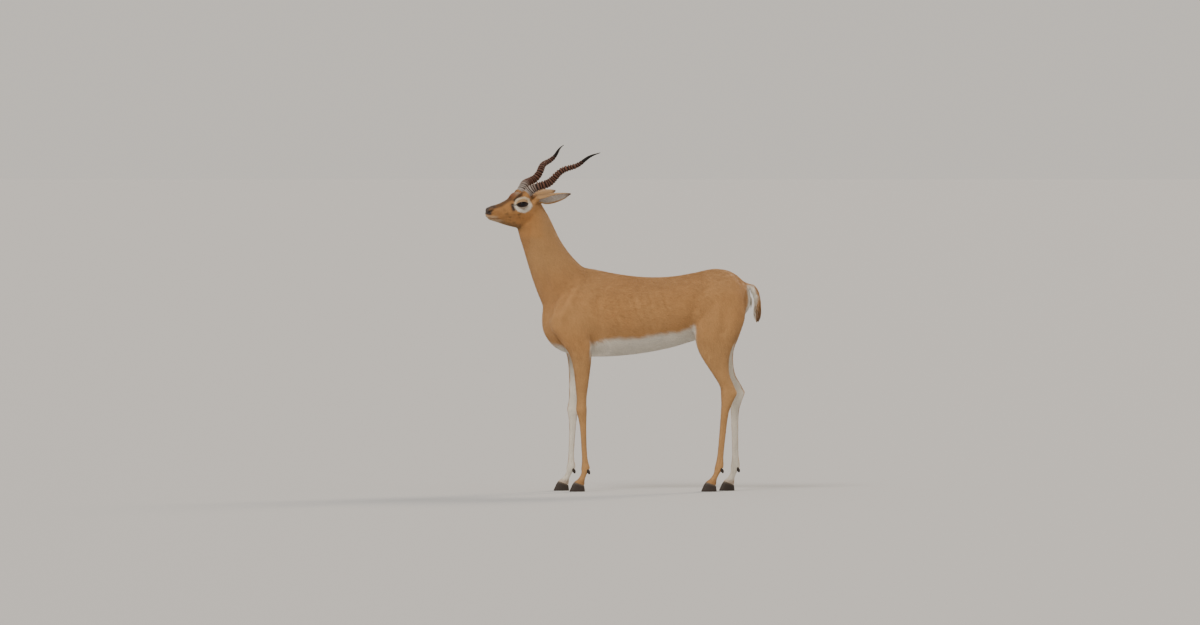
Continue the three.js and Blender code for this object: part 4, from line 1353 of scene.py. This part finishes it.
# the same on the head, in its own frame
HEAD_LIE = [
    ([112, 14, -36], [-1.0, 0.4, 0.1]),
    ([80, 18, -20], [-1.0, 0.15, 0.1]),
    ([60, 8, 0], [-1.0, 0.1, 0.35]),
    ([60, 18, -66], [-1.0, 0.1, -0.2]),
    ([25, 10, 20], [-0.9, 0.1, 0.55]),
    ([20, 38, -30], [-1.0, 0.2, -0.35]),
    ([-5, 36, 20], [-0.9, 0.3, 0.5]),
    ([2, 12, 34], [-0.75, 0.15, 0.75]),
    ([-25, 42, -50], [-0.95, 0.0, -0.45]),
    ([-20, 10, -88], [-1.0, 0.0, -0.1]),
    ([-50, 40, -20], [-1.0, 0.0, -0.3]),
    ([-60, 10, 30], [-1.0, 0.2, -0.1]),
    ([-80, 20, -40], [-0.7, 0.0, -0.8]),
]
HEAD_LIE_REACH = 16.0


def lie(points):
    """The way the hair lies, from the nearest places where it is known."""
    known = []
    for side in (-1, 1):
        known += [(mirrored(place, side), unit(mirrored(way, side)), LIE_REACH) for place, way in LIE]
        for place, way in HEAD_LIE:
            way = unit(mirrored(way, side)) @ HEAD_AXES
            known.append((to_body(mirrored(place, side)), way, HEAD_LIE_REACH))
    ways = np.zeros((len(points), 3))
    for place, way, reach in known:
        away = size_of(points - place) / reach
        ways += way * (np.exp(-away ** 2) + 1e-3 / (1 + away ** 4))[:, None]
    return unit(ways)


def above_coronet(points):
    """Height over the slanting edge where hair gives way to horn, at the nearest foot."""
    x, y, z = points.T
    height = np.full(len(points), 100.0)
    for _, side, stations, step in LEGS:
        foot_z, foot_x, *_ = stations[FOOT_ROW]
        ahead = x - foot_x - 1 - step_at(step, foot_z)
        at_foot = (np.abs(ahead) < 60) & (y * side > 0) & (z < 100)
        height = np.where(at_foot, z - CORONET_Z + CORONET_SLOPE * ahead, height)
    return height


def bare(points):
    """Where no hair grows: nose pad, mouth, rims of the eyes, glands and inside the hooves."""
    here = to_head(points)
    forward, out, up = here.T
    share = rising(forward, 108, 114) * rising(up, -43, -37) * falling(np.abs(out), 17, 22)
    share += hump(over_mouth(forward, out, up), 1.5) * rising(forward, 72, 80)
    for side in (-1, 1):
        outward, ahead, over = eye_place(here, side).T
        rim = opening_share(ahead, over)
        gland = to_segment(here, mirrored([33, 26, -7], side), mirrored([31, 30, -16], side))
        share += (outward > 0) * falling(rim, 1.12, 1.25) + (gland < 2.5)
    return np.clip(share + (above_coronet(points) < -1.5), 0, 1)


def hair_length(points):
    x, _, z = points.T
    forward, _, up = to_head(points).T
    length = 15.0 + 5 * hump(z - 490, 40) * (np.abs(x) < 330)
    length = mixed(length, 13.0, rising(z, 740, 840))
    length = mixed(length, 7.0, falling(z, 200, 520))
    length = length + 3.0 * hump(above_coronet(points) - 4, 9)
    face = 6.0 - 2.6 * rising(forward, 20, 95) + 7.0 * hump(forward - 10, 20, up - 31, 12)
    face = face + 3.5 * hump(forward + 58, 22) * rising(up, -30, 0)
    length = mixed(length, face, rising(forward, -100, -55) * rising(up, -112, -98))
    return mixed(length, 16 + 18 * falling(z, 610, 700), rising(x, 382, 394) * (z < 730))


def hair_width(length):
    return 0.075 * length + 0.3


def sliver_mesh(name, slot, roots, tips, normals, widths, rise, colours, homes, bent=False):
    """Thin slivers, each a closed body: three corners at its root, three half way if bent, and a tip."""
    count = len(roots)
    ways = unit(tips - roots)
    across = unit(np.cross(normals, ways))
    raised = unit(np.cross(ways, across))
    side, ridge = across * widths[:, None] / 2, raised * widths[:, None] * SLIVER_THICKNESS
    sunk = roots - normals * ROOT_DEPTH
    corners = [sunk - side, sunk + side, sunk + ridge]
    walls = [(0, 2, 1)]
    shade = [0.84, 0.84, 0.88]
    patch = [(-1, -1), (1, -1), (0, -0.5)]
    if bent:
        middle = (roots + tips) / 2 + raised * rise[:, None]
        corners += [middle - side, middle + side, middle + ridge]
        walls += [(0, 1, 4), (0, 4, 3), (1, 2, 5), (1, 5, 4), (2, 0, 3), (2, 3, 5)]
        shade += [0.98, 0.98, 1.0]
        patch += [(-0.8, 0.1), (0.8, 0.1), (0, 0.4)]
    last = len(corners)
    walls += [(last - 3, last - 2, last), (last - 2, last - 1, last), (last - 1, last - 3, last)]
    corners = np.stack(corners + [tips], 1)
    faces = (np.arange(count) * (last + 1))[:, None, None] + np.array(walls)
    obj = make_object(name, corners.reshape(-1, 3), faces.reshape(-1, 3), smooth=False)
    shade = np.array(shade + [1.12])[None, :, None]
    write_colours(obj, (colours[:, None] * shade).reshape(-1, 3))
    patch = PATCH / 2 * np.array(patch + [(0, 1)])
    write_map(obj, "OFBake", (np.clip(homes, 0.002, 0.998)[:, None] + patch).reshape(-1, 2))
    finish_piece(obj, TUFT_MATERIAL, slot)


def scatter(obj, count, weigh):
    """Random places on an object, denser where weigh is high: place, normal and map place of each."""
    corners = read_corners(obj).reshape(-1, 3)
    places, normals = read_points(obj)[corners], read_normals(obj)[corners]
    homes = read_numbers(obj.data.uv_layers["OFBake"].data, "uv", 2).reshape(-1, 3, 2)
    area = size_of(np.cross(places[:, 1] - places[:, 0], places[:, 2] - places[:, 0]))
    share = np.cumsum(area * weigh(places.mean(1), normals.mean(1)))
    chosen = np.minimum(np.searchsorted(share, rng.random(count) * share[-1]), len(share) - 1)
    a, b = np.sqrt(rng.random(count)), rng.random(count)
    mix = np.stack([1 - a, a * (1 - b), a * b], 1)[..., None]
    return (places[chosen] * mix).sum(1), unit((normals[chosen] * mix).sum(1)), (homes[chosen] * mix).sum(1)


def flat_along(ways, normals):
    return unit(ways - normals * (ways * normals).sum(1)[:, None])


def laid_on(obj, places, heights):
    """The places brought down to a height over the nearest skin, so that hair follows hollows and swells."""
    tree = BVHTree.FromObject(obj, bpy.context.evaluated_depsgraph_get())
    found = [tree.find_nearest(Vector(place))[:2] for place in ((places + SHIFT) * MM).tolist()]
    ground = np.array([hit[0][:] for hit in found]) / MM - SHIFT
    return ground + np.array([hit[1][:] for hit in found]) * heights[:, None]


def body_tufts(skin):
    def weigh(points, normals):
        length = hair_length(points)
        more = 1 + 2.5 * rising(points[:, 0], 386, 396) * (points[:, 2] < 726)
        return more * (1 - bare(points)) / (length * hair_width(length))

    found = scatter(skin, TUFTS, weigh)
    keep = bare(found[0]) < 0.5
    roots, normals, homes = (values[keep] for values in found)
    count = len(roots)
    lengths = hair_length(roots) * rng.uniform(0.7, 1.2, count)
    ways = flat_along(lie(roots) + rng.normal(0, 0.13, (count, 3)), normals)
    widths = hair_width(lengths) * rng.uniform(0.75, 1.25, count)
    x, y, z = roots.T
    forward, out, up = to_head(roots).T
    crown = hump(forward - 10, 25, out, 0.85 * 25, up - 31, 25)
    on_tail = (x > 388) & (z < 726)
    heights = lengths * (rng.uniform(0.05, 0.13, count) + 0.42 * crown + 0.22 * on_tail)
    tips = laid_on(skin, roots + ways * lengths[:, None], heights)
    colours = markings(roots) * rng.uniform(0.88, 1.12, count)[:, None]
    on_left = np.where((forward > -70) & (z > 840), out > 0, y < 0)
    places = {
        "crown": crown > 0.35, "tail": on_tail, "head": forward > -70, "neck": z > 800, "legs": z < 430,
        "shoulders": x < -105, "barrel": x < 165, "hindquarters": x >= 165,
    }
    region = np.select(list(places.values()), list(places), "hindquarters")
    for name in places:
        for label, wanted in (("left", True), ("right", False)):
            some = np.nonzero((region == name) & (on_left == wanted))[0]
            sliver_mesh(
                f"fur_{name}_{label}", "coat", roots[some], tips[some], normals[some], widths[some],
                0.12 * lengths[some], colours[some], homes[some], bent=name in ("crown", "tail"),
            )


def ear_tufts(ear, label, side):
    """Pale hair that fringes the inside of the cup, and short hair on its back."""
    along, open_way, _ = (v @ HEAD_AXES for v in ear_axes(side))
    axis = to_body(mirrored(EAR_ROOT, side)) + along * EAR_LENGTH * 0.5 + open_way * 14

    def is_inner(points, normals):
        towards = axis - points
        towards = towards - along * (towards @ along)[:, None]
        return (unit(towards) * normals).sum(1) > 0.2

    def weigh(points, normals):
        return np.where(is_inner(points, normals), 1.5, 1.0)

    roots, normals, homes = scatter(ear, EAR_TUFTS, weigh)
    count = len(roots)
    inside = is_inner(roots, normals)
    share, around = ear_place(roots, side)
    to_middle = flat_along(open_way * np.ones((count, 1)), normals)
    ways = flat_along(along + rng.normal(0, 0.2, (count, 3)) - 0.35 * inside[:, None] * to_middle, normals)
    lengths = np.where(inside, 9.0, 5.0) * rng.uniform(0.7, 1.2, count) * (1 - 0.45 * share)
    lengths = np.minimum(lengths, np.maximum((1 - share) * EAR_LENGTH - 0.5, 1.2))
    widths = np.where(inside, 0.6, 0.65) * rng.uniform(0.8, 1.2, count)
    tip = rising(share, 0.76, 0.97)[:, None]
    rim = rising(np.abs(around), 0.7, 0.92)[:, None]
    pale = np.array([0.74, 0.69, 0.63])
    colours = np.where(inside[:, None], mixed(pale, GOLD, rim), GOLD * 0.95)
    colours = mixed(colours, DEEP * 0.4, tip) * rng.uniform(0.8, 1.15, count)[:, None]
    heights = lengths * np.where(inside, 0.12, 0.09) * rng.uniform(0.6, 1.3, count)
    tips = roots + ways * lengths[:, None] + normals * heights[:, None]
    sliver_mesh(f"fur_ear_{label}", "ear", roots, tips, normals, widths, 0.04 * lengths, colours, homes)


def lashes(label, side):
    """Dark lashes on the upper lid."""
    look, level, upward = eye_axes(side)
    share = np.linspace(-0.85, 0.85, LASHES) + rng.normal(0, 0.01, LASHES)
    x = share * OPENING_LENGTH / 2
    y = lid_height(np.abs(share)) + 1.2
    z = np.sqrt((EYE_RADIUS + 2.2) ** 2 - x ** 2 - y ** 2)
    roots = mirrored(EYE_AT, side) + x[:, None] * level + y[:, None] * upward + z[:, None] * look
    ways = unit(look + 0.5 * share[:, None] * level - 0.1 * upward + rng.normal(0, 0.06, (LASHES, 3)))
    normals = unit(upward - ways * (ways @ upward)[:, None])
    lengths = (6.5 - 3.0 * np.abs(share)) * rng.uniform(0.8, 1.15, LASHES)
    tips = to_body(roots + ways * lengths[:, None])
    colours = np.repeat(DARK[None] * 0.7, LASHES, 0)
    sliver_mesh(
        f"lashes_{label}", "coat", to_body(roots), tips, normals @ HEAD_AXES, np.full(LASHES, 0.5),
        lengths * 0.1, colours, np.full((LASHES, 2), 0.5), bent=True,
    )


# Stage, light and camera

def build_floor():
    reach = 400.0
    mesh = bpy.data.meshes.new("floor")
    corners = [(-reach, -reach, 0), (reach, -reach, 0), (reach, reach, 0), (-reach, reach, 0)]
    mesh.from_pydata(corners, [], [(0, 1, 2, 3)])
    mesh.materials.append(floor_material())
    floor = bpy.data.objects.new("floor", mesh)
    bpy.context.scene.collection.objects.link(floor)


def build_light():
    world = bpy.data.worlds.new("studio")
    world.use_nodes = True
    background = world.node_tree.nodes["Background"]
    background.inputs["Color"].default_value = (0.90, 0.84, 0.76, 1)
    background.inputs["Strength"].default_value = 0.8
    bpy.context.scene.world = world
    for name, energy, angle, towards, colour in (
        ("key", 1.9, 20, (0.35, 0.75, -0.75), (1.0, 0.94, 0.86)),
        ("back", 2.6, 16, (-0.5, -0.8, -0.45), (1.0, 0.84, 0.64)),
    ):
        sun = bpy.data.lights.new(name, "SUN")
        sun.energy = energy
        sun.angle = math.radians(angle)
        sun.color = colour
        lamp = bpy.data.objects.new(name, sun)
        lamp.rotation_euler = Vector(towards).to_track_quat("-Z", "Y").to_euler()
        bpy.context.scene.collection.objects.link(lamp)


# The photograph's frame: one picture unit is this much at the head, and the eyes' midpoint is here in it
PICTURE = (1200.0, 625.0)
UNIT = 3.5 * MM
EYES_IN_PICTURE = (516.8, 202.9)
HORIZON = 148.0
CAMERA_DISTANCE = 40.0
SENSOR_WIDTH = 36.0


def build_camera():
    eyes = (HEAD_AT + SHIFT) * MM
    aim = Vector((
        eyes[0] + (PICTURE[0] / 2 - EYES_IN_PICTURE[0]) * UNIT,
        eyes[1],
        eyes[2] - (PICTURE[1] / 2 - EYES_IN_PICTURE[1]) * UNIT,
    ))
    height = eyes[2] + (EYES_IN_PICTURE[1] - HORIZON) * UNIT
    data = bpy.data.cameras.new("camera")
    data.sensor_width = SENSOR_WIDTH
    data.lens = SENSOR_WIDTH * CAMERA_DISTANCE / (PICTURE[0] * UNIT)
    data.clip_end = 2000
    camera = bpy.data.objects.new("camera", data)
    camera.location = (aim.x, aim.y - CAMERA_DISTANCE, height)
    camera.rotation_euler = (aim - camera.location).to_track_quat("-Z", "Y").to_euler()
    bpy.context.scene.collection.objects.link(camera)
    bpy.context.scene.camera = camera


# Building

flesh = ["head", "neck", "shoulders", "barrel", "hindquarters", "tail"]
flesh += [f"{leg_name}_{part}" for leg_name, *_ in LEGS for part in ("upper", "lower")]
skin = build_skin()
write_colours(skin, markings(read_points(skin)))
finish_piece(skin, SKIN_MATERIAL, "coat", *flesh)
body_tufts(skin)
for label, side in (("left", 1), ("right", -1)):
    build_horn(label, side)
    build_eye(label, side)
    ear_tufts(build_ear(label, side), label, side)
    lashes(label, side)
for leg in LEGS:
    build_hooves(*leg)
build_floor()
build_light()
build_camera()
